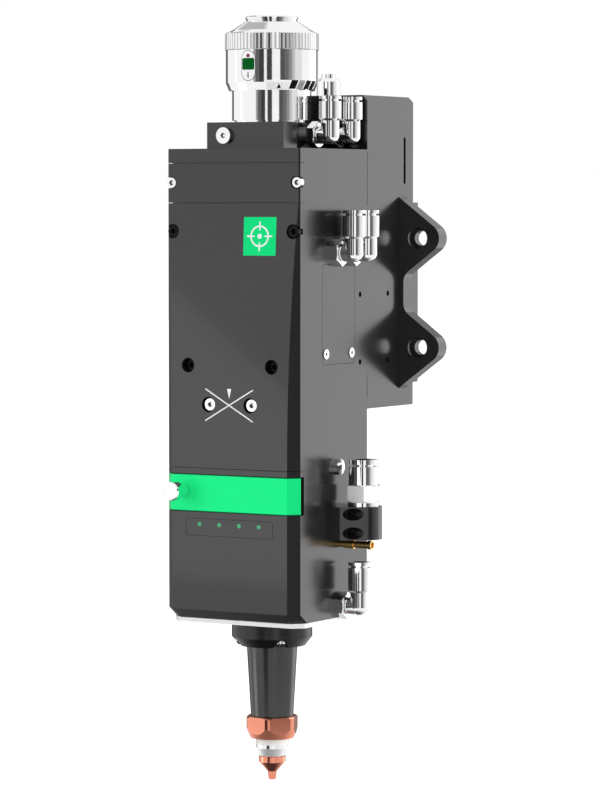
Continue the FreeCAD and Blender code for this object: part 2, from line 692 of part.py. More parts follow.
def top_band():
    body = new_body("top_band")
    low = cover_z + d.seam / 2
    high = band_z - d.seam
    side = rectangle(new_sketch(body, "side", -side_x), front_y, seat_y, low, high)
    pad(body, side, d.body_width)
    trim_corners(body, high, low)
    for side in (1, -1):
        x = d.band_screw_x * side
        z = top_z - d.band_screw_drop
        bolt_hole(body, "front", -front_y, x, z, d.band_recess / 2, d.cover_wrap - d.under_head)
        bolt_hole(body, "front", -front_y, x, z, d.band_shank / 2, d.cover_wrap + 1)


def cover_blank():
    """The swelling front cover before its recesses: an arc from top to bottom."""
    body = doc.addObject("PartDesign::Body", "cover_blank")
    low = cover_end_z + d.seam
    high = cover_z - d.seam / 2
    sketch = new_sketch(body, "side", -side_x)
    # The arc runs upright into the lower front, so its centre lies level with the lower end
    rise = number(high) - number(low)
    swell = number(d.front_swell)
    radius = (rise ** 2 + swell ** 2) / (2 * swell)
    y0 = number(lower_front_y)
    centre = FreeCAD.Vector(y0 + radius, number(low), 0)
    start = math.pi - math.asin(rise / radius)
    arc = Part.ArcOfCircle(Part.Circle(centre, FreeCAD.Vector(0, 0, 1), radius), start, math.pi)
    sketch.addGeometry(arc, False)
    corners = [
        FreeCAD.Vector(y0, number(low), 0),
        FreeCAD.Vector(number(seat_y), number(low), 0),
        FreeCAD.Vector(number(seat_y), number(high), 0),
        FreeCAD.Vector(number(front_y), number(high), 0),
    ]
    for first, second in zip(corners, corners[1:]):
        sketch.addGeometry(Part.LineSegment(first, second), False)
    for here, end, there, start_point in ((0, 2, 1, 1), (1, 2, 2, 1), (2, 2, 3, 1), (3, 2, 0, 1)):
        sketch.addConstraint(Sketcher.Constraint("Coincident", here, end, there, start_point))
    for line, u, v in ((1, lower_front_y, low), (2, seat_y, low), (3, seat_y, high)):
        fix(sketch, "DistanceX", -1, 1, line, 1, size=u)
        fix(sketch, "DistanceY", -1, 1, line, 1, size=v)
    fix(sketch, "DistanceX", -1, 1, 3, 2, size=front_y)
    fix(sketch, "DistanceY", -1, 1, 3, 2, size=high)
    fix(sketch, "DistanceY", -1, 1, 0, 3, size=low)
    pad(body, sketch, d.body_width)
    trim_corners(body, high, low)
    return body


def front_cover():
    blank = cover_blank()
    tools = []
    deep = d.front_swell + d.cover_wrap + 1
    for side in (1, -1):
        for x, drop in ((d.upper_screw_x, d.upper_screw_drop), (d.lower_screw_x, d.lower_screw_drop)):
            z = top_z - drop
            recess = cylinder(d.cap_recess / 2, deep)
            tools.append(put(recess, x * side, seat_y - d.under_head, z, TURNS["front"]))
            tools.append(put(cylinder(d.cap_shank / 2, deep), x * side, seat_y + 1, z, TURNS["front"]))
        access = cylinder(d.adjuster_recess / 2, deep + 1)
        tools.append(put(access, d.adjuster_x * side, seat_y + 1, adjuster_z, TURNS["front"]))
    tools.append(emblem_box(0))
    keep(cut(blank, fuse(*tools)), "front_cover")

    plate = doc.addObject("Part::MultiCommon", "emblem")
    plate.Shapes = [cover_blank(), emblem_box(d.seat_gap)]
    keep(plate, "emblem_plate")


def emblem_box(gap):
    """The block of space that the square plate fills, less a gap all round."""
    item = doc.addObject("Part::Box", "emblem_box")
    width = d.emblem_size - gap * 2 if isinstance(gap, Size) else d.emblem_size
    height = d.emblem_height - gap * 2 if isinstance(gap, Size) else d.emblem_height
    bind(item, "Length", width)
    bind(item, "Width", d.front_swell + 1)
    bind(item, "Height", height)
    x = d.emblem_x - width / 2
    back = front_y + d.emblem_depth / 2
    return put(item, x, back - d.front_swell - 1, top_z - d.emblem_drop - height / 2)


def side_cover():
    body = new_body("side_cover")
    plate_y = front_y + d.side_plate_front + d.seam
    plate_z = top_z - d.side_plate_drop - d.seam
    length = d.side_plate_length - d.seam * 2
    height = d.side_plate_height - d.seam * 2
    sketch = new_sketch(body, "side", side_x - d.side_plate_thickness)
    rectangle(sketch, plate_y, plate_y + length, plate_z - height, plate_z)
    pad(body, sketch, d.side_plate_thickness)
    dress(body, "Fillet", "Radius", d.side_plate_round - d.seam,
          lambda edge, middle: close(middle.x, side_x - d.side_plate_thickness / 2))
    for along in (d.side_screw_inset, d.side_plate_length - d.side_screw_inset):
        y = front_y + d.side_plate_front + along
        z = top_z - d.side_plate_drop - d.side_plate_height + d.side_screw_rise
        bolt_hole(body, "side", side_x, y, z, d.band_shank / 2, d.side_plate_thickness + 1)
        bolt_hole(body, "side", side_x, y, z, d.side_screw_head / 2, d.side_plate_thickness / 2)


# The rear housing, which holds the drive and carries the ears

def rear_housing():
    body = new_body("rear_housing")
    high = top_z + d.rear_rise
    low = top_z - d.rear_drop
    block = rectangle(new_sketch(body, "front", -rear_end_y), -side_x, side_x, low, high)
    pad(body, block, d.rear_depth)
    dress(body, "Chamfer", "Size", d.rear_chamfer,
          lambda edge, middle: close(middle.z, high) and close(abs(middle.x), side_x))
    for side in (1, -1):
        rib = new_sketch(body, "front", -rear_end_y)
        root = side_x * side - 1.0 * side
        web = (side_x + d.ear_web) * side
        rectangle(rib, root, web, -d.ear_half_height + d.ear_web, d.ear_half_height - d.ear_web)
        pad(body, rib, rear_end_y - ear_y)
        slope = (d.ear_half_height - d.mount_z) / (d.ear_apex_x - side_x)
        waist = d.mount_z - slope * (d.ear_apex_x - side_x - d.ear_web)
        apex = d.ear_apex_x * side
        ear = new_sketch(body, "front", 0)
        outline(ear, [
            (root, d.ear_half_height + slope), (apex, d.mount_z), (web, waist),
            (web, -waist), (apex, -d.mount_z), (root, -d.ear_half_height - slope),
        ])
        pad(body, ear, -ear_y)
        dress(body, "Fillet", "Radius", d.ear_tip_radius,
              lambda edge, middle: close(middle.x, apex) and close(middle.y, ear_y / 2))
        dress(body, "Fillet", "Radius", d.ear_root_round,
              lambda edge, middle: close(middle.x, web) and close(abs(middle.z), waist)
              and close(middle.y, ear_y / 2))
        for z in (d.mount_z, -d.mount_z):
            x = d.mount_x * side
            bolt_hole(body, "front", -ear_y, x, z, d.mount_counterbore / 2, d.mount_counterbore_depth)
            bolt_hole(body, "front", -ear_y, x, z, d.mount_bore / 2, -ear_y + 1)

    inner = side_x - d.rear_wall
    chamber = rectangle(new_sketch(body, "front", -back_y), -inner, inner,
                        low + d.rear_wall, top_z - d.rear_wall)
    pocket(body, chamber, d.rear_depth - d.rear_wall)
    loft = rectangle(new_sketch(body, "front", -(back_y + d.rear_wall)), -inner, inner,
                     top_z - d.rear_wall - 1, high - d.rear_wall)
    pocket(body, loft, d.rear_depth - d.rear_wall * 2)

    y = back_y + d.groove_back
    groove_z = top_z + d.groove_top
    radius = d.groove_width / 2
    for side in (1, -1):
        for z in (groove_z - radius, groove_z - d.groove_height + radius):
            bolt_hole(body, "side", side_x * side, y, z, radius, d.groove_depth, side < 0)
        mill = rectangle(new_sketch(body, "side", side_x * side), y - radius, y + radius,
                         groove_z - d.groove_height + radius, groove_z - radius)
        pocket(body, mill, d.groove_depth, side < 0)
    for drop in (d.tapped_drop, d.tapped_drop + d.tapped_rise):
        bolt_hole(body, "side", side_x, tapped_y + d.tapped_pitch, top_z - drop, d.tapped_hole / 2,
                  d.tapped_depth)
    bolt_hole(body, "top", high, 0, gland_y, d.gland_top_radius + 1, d.rear_wall + 1)


def cable_gland():
    low = top_z + d.rear_rise
    thread = d.gland_top_radius + 1
    top = low + d.gland_height
    turned("cable_gland", [
        (d.gland_bore / 2, low - d.rear_wall),
        (thread, low - d.rear_wall),
        (thread, low),
        (d.gland_radius, low),
        (d.gland_radius, top - 2),
        (d.gland_radius - 1.6, top),
        (d.gland_top_radius, top),
        (d.gland_top_radius, top + d.gland_top_height),
        (d.gland_bore / 2, top + d.gland_top_height),
    ], y=gland_y)


# The fibre socket on top

def collimation_block():
    body = new_body("collimation_block")
    front = front_y + d.block_inset
    step = front + d.block_step
    plan = outline(new_sketch(body, "top", top_z), [
        (-d.block_half_width, front), (d.block_half_width, front),
        (d.block_half_width, step), (d.block_neck_half_width, step),
        (d.block_neck_half_width, back_y), (-d.block_neck_half_width, back_y),
        (-d.block_neck_half_width, step), (-d.block_half_width, step),
    ])
    pad(body, plan, d.block_height)
    bolt_hole(body, "top", block_z, 0, beam_y, d.socket_bore / 2, d.block_height + 1)
    for y in (front_y + d.top_elbow_front, back_y - d.top_elbow_back):
        bolt_hole(body, "side", d.block_neck_half_width, y, top_z + d.top_elbow_rise,
                  d.stem_thread, d.stem_thread_length + 1)
    bolt_hole(body, "front", -front, -d.block_screw_x, top_z + d.block_screw_rise,
              d.button_shank / 2, d.button_length + 1)


bore = d.socket_bore / 2
step_z = block_z + d.collar_height
sleeve_z = step_z + d.scale_height
wheel_z = sleeve_z + d.sleeve_height
spigot_z = wheel_z + d.wheel_height - 1


def fibre_collar():
    turned("collar_base", [
        (bore, block_z), (d.collar_undercut_radius, block_z),
        (d.collar_undercut_radius, block_z + d.collar_undercut),
        (d.collar_radius, block_z + d.collar_undercut), (d.collar_radius, step_z), (bore, step_z),
    ])
    hub = d.wheel_hub - d.seat_gap
    turned("collar_sleeve", [
        (bore, step_z), (d.scale_radius, step_z), (d.sleeve_radius, sleeve_z),
        (d.sleeve_radius, wheel_z), (hub, wheel_z), (hub, spigot_z), (bore, spigot_z),
    ])


def hand_wheel():
    low = wheel_z + d.running_gap
    shoulder = low + d.wheel_height
    cone = shoulder + d.wheel_shoulder
    rim = cone + d.wheel_cone_height
    top = rim + d.wheel_lip_height
    bevel = d.wheel_lip_bevel
    body = turned("hand_wheel", [
        (d.wheel_hub, low), (d.wheel_radius, low), (d.wheel_radius, shoulder),
        (d.wheel_radius - 0.9, shoulder + 0.9), (d.wheel_cone_radius, cone),
        (d.wheel_rim_radius - bevel, rim), (d.wheel_rim_radius, rim + bevel),
        (d.wheel_rim_radius, top - bevel), (d.wheel_rim_radius - bevel, top), (bore, top),
        (bore, spigot_z + d.running_gap), (d.wheel_hub, spigot_z + d.running_gap),
    ])
    sketch = new_sketch(body, "top", shoulder + 1, up=beam_y)
    circle(sketch, d.wheel_radius + d.flute_radius * 0.55, 0, d.flute_radius)
    flute = pocket(body, sketch, d.wheel_height + 2)
    pattern = body.newObject("PartDesign::PolarPattern", "flutes")
    pattern.Originals = [flute]
    pattern.Axis = (sketch, ["N_Axis"])
    pattern.Angle = 360
    bind(pattern, "Occurrences", d.flute_count)
    body.Tip = pattern


# The beam end: base plate, sensor collar and nozzle

collar_reach = d.flange_screw_radius / math.sqrt(2)


def base_plate():
    body = new_body("base_plate")
    half = side_x - d.base_inset
    front = lower_front_y + d.foot_chamfer + d.base_inset
    corner = d.front_swell + d.edge_break
    plan = outline(new_sketch(body, "top", base_z), [
        (corner - half, front), (half - corner, front), (half, front + corner),
        (half, back_y - d.base_inset), (-half, back_y - d.base_inset), (-half, front + corner),
    ])
    pad(body, plan, d.base_thickness)
    bolt_hole(body, "top", floor_z, 0, beam_y, d.beam_bore / 2, d.base_thickness + 1)
    for x in (collar_reach, -collar_reach):
        for y in (collar_reach, -collar_reach):
            bolt_hole(body, "top", floor_z, x, beam_y + y, d.cap_shank / 2, d.base_thickness + 1)


cone_spigot = d.cone_low_radius - 1.5
spigot_length = 8.0
thread_z = lock_z - 7
LOCK_RING_TURN = 20.0


def sensor_collar():
    flange_z = base_z - d.flange_height
    foot = d.flange_radius - d.flange_chamfer
    hole = cone_spigot + d.seat_gap
    body = turned("sensor_collar", [
        (d.beam_bore / 2 - 4, base_z), (d.flange_radius, base_z), (d.flange_radius, flange_z),
        (foot, cone_z), (hole, cone_z), (hole, cone_z + spigot_length),
        (d.beam_bore / 2 - 4, cone_z + spigot_length),
    ])
    for x in (collar_reach, -collar_reach):
        for y in (collar_reach, -collar_reach):
            place = circle(new_sketch(body, "top", cone_z - 1), x, beam_y + y, d.flange_notch / 2)
            pocket(body, place, d.flange_chamfer_height + 2.5, True)
            place = circle(new_sketch(body, "top", cone_z - 1), x, beam_y + y, d.cap_shank / 2)
            pocket(body, place, d.flange_height + d.flange_chamfer_height + 2, True)


def nozzle_stack():
    wall = d.cone_wall
    turned("nozzle_cone", [
        (cone_spigot - wall, cone_z + spigot_length), (cone_spigot, cone_z + spigot_length),
        (cone_spigot, cone_z), (d.cone_top_radius, cone_z), (d.cone_low_radius, lock_z),
        (d.cone_low_radius, thread_z), (d.cone_low_radius - wall, thread_z),
        (d.cone_low_radius - wall, lock_z),
    ])
    lip = d.ceramic_radius + d.running_gap
    thread = d.cone_low_radius + d.seat_gap
    lip_z = lock_end_z + d.lock_lip
    lock = turned("lock_ring", [
        (thread, lock_z), (d.lock_radius - 0.8, lock_z), (d.lock_radius, lock_z - 0.8),
        (d.lock_radius, lock_end_z + d.lock_cone), (d.lock_low_radius, lock_end_z),
        (lip, lock_end_z), (lip, lip_z), (thread, lip_z),
    ])
    # Six flats take a wrench; their turn about the beam is that of the photograph
    cosine = math.cos(math.radians(LOCK_RING_TURN))
    sine = math.sin(math.radians(LOCK_RING_TURN))
    half = d.lock_flats / 3
    outer = d.lock_radius + 2
    flat = new_sketch(lock, "top", lock_z, up=beam_y)
    outline(flat, [
        (along * cosine - across * sine, along * sine + across * cosine)
        for along, across in (
            (d.lock_flats / 2, -half), (outer, -half), (outer, half), (d.lock_flats / 2, half),
        )
    ])
    first = pocket(lock, flat, d.lock_height)
    flats = lock.newObject("PartDesign::PolarPattern", "flats")
    flats.Originals = [first]
    flats.Axis = (flat, ["N_Axis"])
    flats.Angle = 360
    flats.Occurrences = 6
    lock.Tip = flats

    ceramic_bore = d.nozzle_thread + 2.5
    flange_low = lip_z + d.running_gap
    turned("ceramic_ring", [
        (ceramic_bore, thread_z), (d.ceramic_flange_radius, thread_z),
        (d.ceramic_flange_radius, flange_low), (d.ceramic_radius, flange_low),
        (d.ceramic_radius, ceramic_z), (ceramic_bore, ceramic_z),
    ])
    inner = d.nozzle_thread + d.seat_gap
    turned("nozzle_seat", [
        (inner, ceramic_z + 5), (ceramic_bore - d.seat_gap, ceramic_z + 5),
        (ceramic_bore - d.seat_gap, ceramic_z), (d.seat_radius, ceramic_z),
        (d.seat_radius, ceramic_z - 2.2), (d.seat_low_radius, nozzle_seat_z), (inner, nozzle_seat_z),
    ])
    shoulder = nozzle_seat_z - d.running_gap
    cone_end = nozzle_z - d.nozzle_cone_height
    tip = cone_end - d.nozzle_tip_height
    turned("nozzle", [
        (d.nozzle_thread - 1.5, nozzle_seat_z + d.nozzle_thread_height),
        (d.nozzle_thread, nozzle_seat_z + d.nozzle_thread_height), (d.nozzle_thread, shoulder),
        (d.nozzle_radius, shoulder), (d.nozzle_radius, nozzle_z), (d.nozzle_neck_radius, cone_end),
        (d.nozzle_tip_radius, tip), (d.orifice / 2, tip), (d.orifice / 2, cone_end),
    ])


# Push-in fittings for water and gas

def nut(flats, height, z=0, both=False):
    """A hexagon whose corners are turned off at its upper end, or at both ends."""
    shapes = [hexagon(flats, height, z)]
    for lower, upper in ((height * 1.7, 0), (0, height * 1.7))[:2 if both else 1]:
        bevel = doc.addObject("Part::Cone", "bevel")
        bind(bevel, "Radius1", flats / 2 + lower)
        bind(bevel, "Radius2", flats / 2 + upper)
        bind(bevel, "Height", height)
        shapes.append(put(bevel, z=z))
    item = doc.addObject("Part::MultiCommon", "nut")
    item.Shapes = shapes
    return item


def elbow(name, x, y, arm_z, stem, sleeve):
    """An elbow that swivels on its stem: round foot, sleeve up and arm to the left."""
    body = new_body(name)
    radius = d.elbow_body_radius
    foot = arm_z + d.elbow_rise
    top = foot + sleeve
    tube = d.tube / 2 + d.seat_gap
    socket = d.tube / 2 + 1.2
    channel = d.stem_pin + 0.5
    turn(body, [
        (0, arm_z - radius), (radius, arm_z - radius), (radius, foot),
        (d.elbow_radius, foot + d.sleeve_bevel), (d.elbow_radius, top), (socket, top),
        (socket, top - 7), (tube, top - 7), (tube, foot - 2), (channel, foot - 2),
        (channel, arm_z - channel), (0, arm_z - channel),
    ], level=-y, across=x)
    dress(body, "Fillet", "Radius", radius * 0.97,
          lambda edge, middle: close(middle.z, arm_z - radius) and edge.Length > 3)
    start = x - stem + d.running_gap
    arm = circle(new_sketch(body, "side", start), y, arm_z, d.arm_radius)
    pad(body, arm, x - start)
    bolt_hole(body, "side", start - 1, y, arm_z, d.stem_pin + d.seat_gap, d.stem_pin_length + 1, True)


def elbow_stem(face, y, arm_z, spacer):
    """The fixed stem of an elbow: thread, spacer, hexagon and the pin it swivels on."""
    thread = cylinder(d.stem_thread, d.stem_thread_length + spacer + 1, z=-d.stem_thread_length)
    pin = cylinder(d.stem_pin, d.stem_hexagon + d.stem_pin_length, z=spacer)
    solid = fuse(thread, nut(d.stem_flats, d.stem_hexagon, z=spacer), pin)
    length = d.stem_thread_length + spacer + d.stem_hexagon + d.stem_pin_length + 2
    passage = cylinder(d.stem_pin - 0.8, length, z=-d.stem_thread_length - 1)
    return put(cut(solid, passage), face, y, arm_z, TURNS["right"])


def release_ring(name, x, y, sleeve_top, tube, radius, flange):
    """The ring that frees the tube when it is pushed into its sleeve."""
    inner = tube / 2 + d.seat_gap
    outer = tube / 2 + 0.9
    low = sleeve_top + d.release_travel + d.running_gap
    turned(name, [
        (inner, sleeve_top - 5), (outer, sleeve_top - 5), (outer, low),
        (radius - 0.1, low), (radius - 0.1, low + flange), (inner, low + flange),
    ], x=x, y=y)


def fittings():
    neck = d.block_neck_half_width
    top = (neck, top_z + d.top_elbow_rise, d.top_reach, d.top_spacer, d.top_sleeve)
    side = (side_x, top_z - d.side_elbow_drop, d.side_reach, 0, d.side_sleeve)
    low = (side_x, low_elbow_z, d.side_reach, 0, d.low_sleeve)
    places = (
        ("top_front", front_y + d.top_elbow_front, top),
        ("top_back", back_y - d.top_elbow_back, top),
        ("side_front", front_y + d.side_elbow_front, side),
        ("side_back", front_y + d.side_elbow_back, side),
        ("low", front_y + d.low_elbow_front, low),
    )
    stems = []
    for word, y, (face, arm_z, reach, spacer, sleeve) in places:
        x = face + reach
        elbow(f"elbow_{word}", x, y, arm_z, reach - spacer - d.stem_hexagon, sleeve)
        release_ring(f"release_{word}", x, y, arm_z + d.elbow_rise + sleeve, d.tube,
                     d.elbow_radius, d.release_flange)
        stems.append(elbow_stem(face, y, arm_z, spacer))
    group("elbow_stems", stems)


gas_x = side_x + d.gas_reach
gas_y = front_y + d.gas_centre
gas_screw_seat = side_x + 8


def gas_block():
    body = new_body("gas_block")
    front = front_y + d.gas_front
    back = gas_y + d.gas_round
    end = gas_x + d.gas_round
    nose = side_x + d.gas_nose
    plan = outline(new_sketch(body, "top", gas_top - d.gas_height), [
        (side_x, front), (nose, front), (end, front + (end - nose) * 0.72), (end, back), (side_x, back),
    ])
    pad(body, plan, d.gas_height)
    dress(body, "Fillet", "Radius", d.gas_round - 0.5,
          lambda edge, middle: close(middle.x, end) and close(middle.y, back))
    dress(body, "Fillet", "Radius", d.gas_round - 2,
          lambda edge, middle: upright(edge) and close(middle.x, end) and middle.y < number(gas_y))
    bolt_hole(body, "top", gas_top, gas_x, gas_y, d.gas_thread, d.gas_height / 2 + 1)
    bolt_hole(body, "side", gas_x, gas_y, gas_middle, d.gas_channel / 2, d.gas_reach + 1)
    for step in (-0.5, 0.5):
        y = front_y + d.gas_screw_front
        z = gas_middle + d.gas_screw_pitch * step
        bolt_hole(body, "side", end, y, z, d.cap_head / 2 + 0.1, end - gas_screw_seat)
        bolt_hole(body, "side", end, y, z, d.cap_shank / 2, end - side_x + 1)


def gas_fitting():
    foot = cylinder(d.gas_foot_radius, d.gas_foot)
    thread = cylinder(d.gas_thread, d.gas_thread_length + 1, z=-d.gas_thread_length)
    hexagonal = nut(d.gas_flats, d.gas_hexagon, z=d.gas_foot, both=True)
    sleeve = cylinder(d.gas_sleeve_radius, d.gas_sleeve + 1, z=d.gas_foot + d.gas_hexagon - 1)
    length = d.gas_foot + d.gas_hexagon + d.gas_sleeve
    tube = cylinder(d.gas_tube / 2 + d.seat_gap, length, z=d.gas_foot + 4)
    passage = cylinder(d.gas_channel / 2, length, z=-d.gas_thread_length - 1)
    socket = cylinder(d.gas_tube / 2 + 1.2, 8.0, z=length - 7)
    solid = cut(fuse(foot, thread, hexagonal, sleeve), fuse(tube, passage, socket))
    keep(put(solid, gas_x, gas_y, gas_top), "gas_fitting")
    release_ring("release_gas", gas_x, gas_y, gas_top + length, d.gas_tube,
                 d.gas_sleeve_radius, d.gas_release_flange)


def sensor_connector():
    body = new_body("sensor_connector")
    radius = d.connector_radius
    end = side_x + d.connector_length
    turn(body, [
        (side_x - 8, 0), (end - 6, 0), (end - 6, 0.6), (end - 2, 0.6), (end - 2, 0),
        (end - 1.9, 0), (end - 1.9, radius - 0.8), (end, radius - 0.8), (end, radius),
        (end - 2.6, radius), (end - 2.6, radius - 0.5), (side_x + 9, radius - 0.5),
        (side_x + 9, radius), (side_x + 3, radius), (side_x + 3, radius - 0.5),
        (side_x - 8, radius - 0.5),
    ], axis="H_Axis", level=-(front_y + d.connector_front), up=connector_z)


# The lens drawer and its knob

middle_drawer_z = drawer_z - d.drawer_height / 2
flange_y = lower_front_y + d.drawer_face
ledge_z = middle_drawer_z - 1


def lens_drawer():
    front = new_body("drawer_front")
    sketch = new_sketch(front, "side", -side_x)
    rectangle(sketch, lower_front_y, flange_y, drawer_end_z, drawer_z)
    pad(front, sketch, d.body_width)
    trim_corners(front, drawer_z, drawer_end_z)
    hole = d.knob_shank_radius + d.seat_gap
    bolt_hole(front, "front", -lower_front_y, -d.knob_x, knob_z, hole, d.drawer_face + 1)

    tray = new_body("drawer_tray")
    sketch = new_sketch(tray, "side", -side_x)
    rectangle(sketch, flange_y, flange_y + d.drawer_flange, drawer_end_z, drawer_z)
    pad(tray, sketch, d.body_width)
    sketch = new_sketch(tray, "top", middle_drawer_z - d.tray_height / 2)
    rectangle(sketch, -(d.tray_width / 2), d.tray_width / 2, flange_y + d.drawer_flange / 2,
              flange_y + d.drawer_flange + d.tray_length)
    pad(tray, sketch, d.tray_height)
    bolt_hole(tray, "front", -flange_y, -d.knob_x, knob_z, hole, d.drawer_flange + 1)
    tray_top = middle_drawer_z + d.tray_height / 2
    bolt_hole(tray, "top", tray_top, 0, beam_y, d.window_radius + d.seat_gap, tray_top - ledge_z)
    bolt_hole(tray, "top", tray_top, 0, beam_y, d.window_radius - d.lens_ledge, d.tray_height + 1)

    glass = new_body("protective_window")
    pad(glass, circle(new_sketch(glass, "top", ledge_z), 0, beam_y, d.window_radius), d.window_thickness)
    seal_z = ledge_z + d.window_thickness
    turned("window_seal", [
        (d.window_radius - d.lens_ledge, seal_z), (d.window_radius, seal_z),
        (d.window_radius, seal_z + 1.8), (d.window_radius - d.lens_ledge, seal_z + 1.8),
    ])


def drawer_knob():
    body = new_body("drawer_knob")
    face = lower_front_y - d.running_gap
    head = face - d.knob_neck
    end = head - d.knob_head
    chamfer = 0.7
    turn(body, [
        (end, 0), (end, d.knob_radius - chamfer), (end + chamfer, d.knob_radius),
        (head, d.knob_radius), (head, d.knob_neck_radius), (face, d.knob_neck_radius),
        (face, d.knob_shank_radius), (face + d.knob_shank, d.knob_shank_radius),
        (face + d.knob_shank, 0),
    ], plane="side", axis="H_Axis", level=-d.knob_x, up=knob_z)


# The drive: carriage, rails, screw and motor

carriage_low = carriage_z - d.carriage_height / 2
carriage_high = carriage_z + d.carriage_height / 2


def lens(name, radius, low):
    """A lens, flat below and round above, cut from a disc and a ball."""
    disc = put(cylinder(radius, d.lens_thickness), y=beam_y, z=low)
    ball = doc.addObject("Part::Sphere", "ball")
    bind(ball, "Radius", d.lens_curve)
    put(ball, y=beam_y, z=low + d.lens_thickness - d.lens_curve)
    item = doc.addObject("Part::MultiCommon", "lens")
    item.Shapes = [disc, ball]
    keep(item, name)


def retaining_ring(name, radius, low):
    turned(name, [
        (radius - d.lens_ledge, low), (radius, low),
        (radius, low + d.ring_height), (radius - d.lens_ledge, low + d.ring_height),
    ])


def lens_carriage():
    body = new_body("lens_carriage")
    half = d.cavity_width / 2 - d.carriage_gap
    front = beam_y - d.carriage_length / 2
    back = beam_y + d.carriage_length / 2
    arm = d.slot_width / 2 - 1.5
    end = screw_y + d.nut_radius
    plan = outline(new_sketch(body, "top", carriage_low), [
        (-half, front), (half, front), (half, back), (arm, back),
        (arm, end), (-arm, end), (-arm, back), (-half, back),
    ])
    pad(body, plan, d.carriage_height)
    depth = d.lens_thickness + d.ring_height
    bolt_hole(body, "top", carriage_high, 0, beam_y, d.lens_radius + d.seat_gap, depth)
    bolt_hole(body, "top", carriage_high, 0, beam_y, d.lens_radius - d.lens_ledge, d.carriage_height + 1)
    for side in (1, -1):
        bolt_hole(body, "top", carriage_high, d.rail_x * side, beam_y, d.rail_radius + d.seat_gap,
                  d.carriage_height + 1)
    bolt_hole(body, "top", carriage_high, 0, screw_y, d.screw_radius + 2, d.carriage_height + 1)
    lens("collimating_lens", d.lens_radius, carriage_high - depth)
    retaining_ring("carriage_ring", d.lens_radius, carriage_high - d.ring_height)
    turned("carriage_nut", [
        (d.screw_radius + d.seat_gap, carriage_low - d.nut_height),
        (d.nut_radius, carriage_low - d.nut_height), (d.nut_radius, carriage_low),
        (d.screw_radius + 2, carriage_low), (d.screw_radius + 2, carriage_high),
        (d.screw_radius + d.seat_gap, carriage_high),
    ], y=screw_y)


def drive():
    waist_z = top_z - d.cavity_waist_drop
    rails = [
        put(cylinder(d.rail_radius, cavity_z - waist_z), d.rail_x * side, beam_y, waist_z)
        for side in (1, -1)
    ]
    group("guide_rails", rails)
    motor_top = top_z + d.rear_rise - d.rear_wall
    motor_low = motor_top - d.motor_height
    screw_top = motor_low + 10
    screw_low = screw_top - d.screw_length
    rod = new_body("lead_screw")
    pad(rod, circle(new_sketch(rod, "top", screw_low), 0, screw_y, d.screw_radius), d.screw_length)
    dress(rod, "Chamfer", "Size", d.screw_radius / 4, lambda edge, middle: edge.Length > 10)

    motor = new_body("drive_motor")
    half = d.motor_side / 2
    plan = new_sketch(motor, "top", motor_low)
    pad(motor, rectangle(plan, -half, half, screw_y - half, screw_y + half), d.motor_height)
    dress(motor, "Chamfer", "Size", d.motor_side / 9, lambda edge, middle: upright(edge))
    bolt_hole(motor, "top", motor_low, 0, screw_y, d.screw_radius + d.seat_gap, 10.5, True)

    bearing = new_body("screw_bearing")
    low = screw_low + 1
    plan = new_sketch(bearing, "top", low)
    rectangle(plan, -12.0, 12.0, screw_y - 9, rear_end_y - d.rear_wall)
    pad(bearing, plan, d.bearing_height)
    bolt_hole(bearing, "top", low, 0, screw_y, d.screw_radius + d.seat_gap, d.bearing_height + 1, True)


# The centring unit: two slides at right angles under the focusing lens

slide_low = adjuster_z - 6
slide_split = adjuster_z - 1
slide_high = slide_split + d.running_gap + d.slide_thickness
frame_front = seat_y + d.running_gap
frame_inner = frame_front + d.frame_wall


def slide_plan(left_cut, right_cut):
    """The outline of a slide about the beam, with its two front corners cut."""
    half = d.slide_half_width
    return [
        (left_cut - half, -half), (half - right_cut, -half), (half, right_cut - half),
        (half, half), (-half, half), (-half, left_cut - half),
    ]


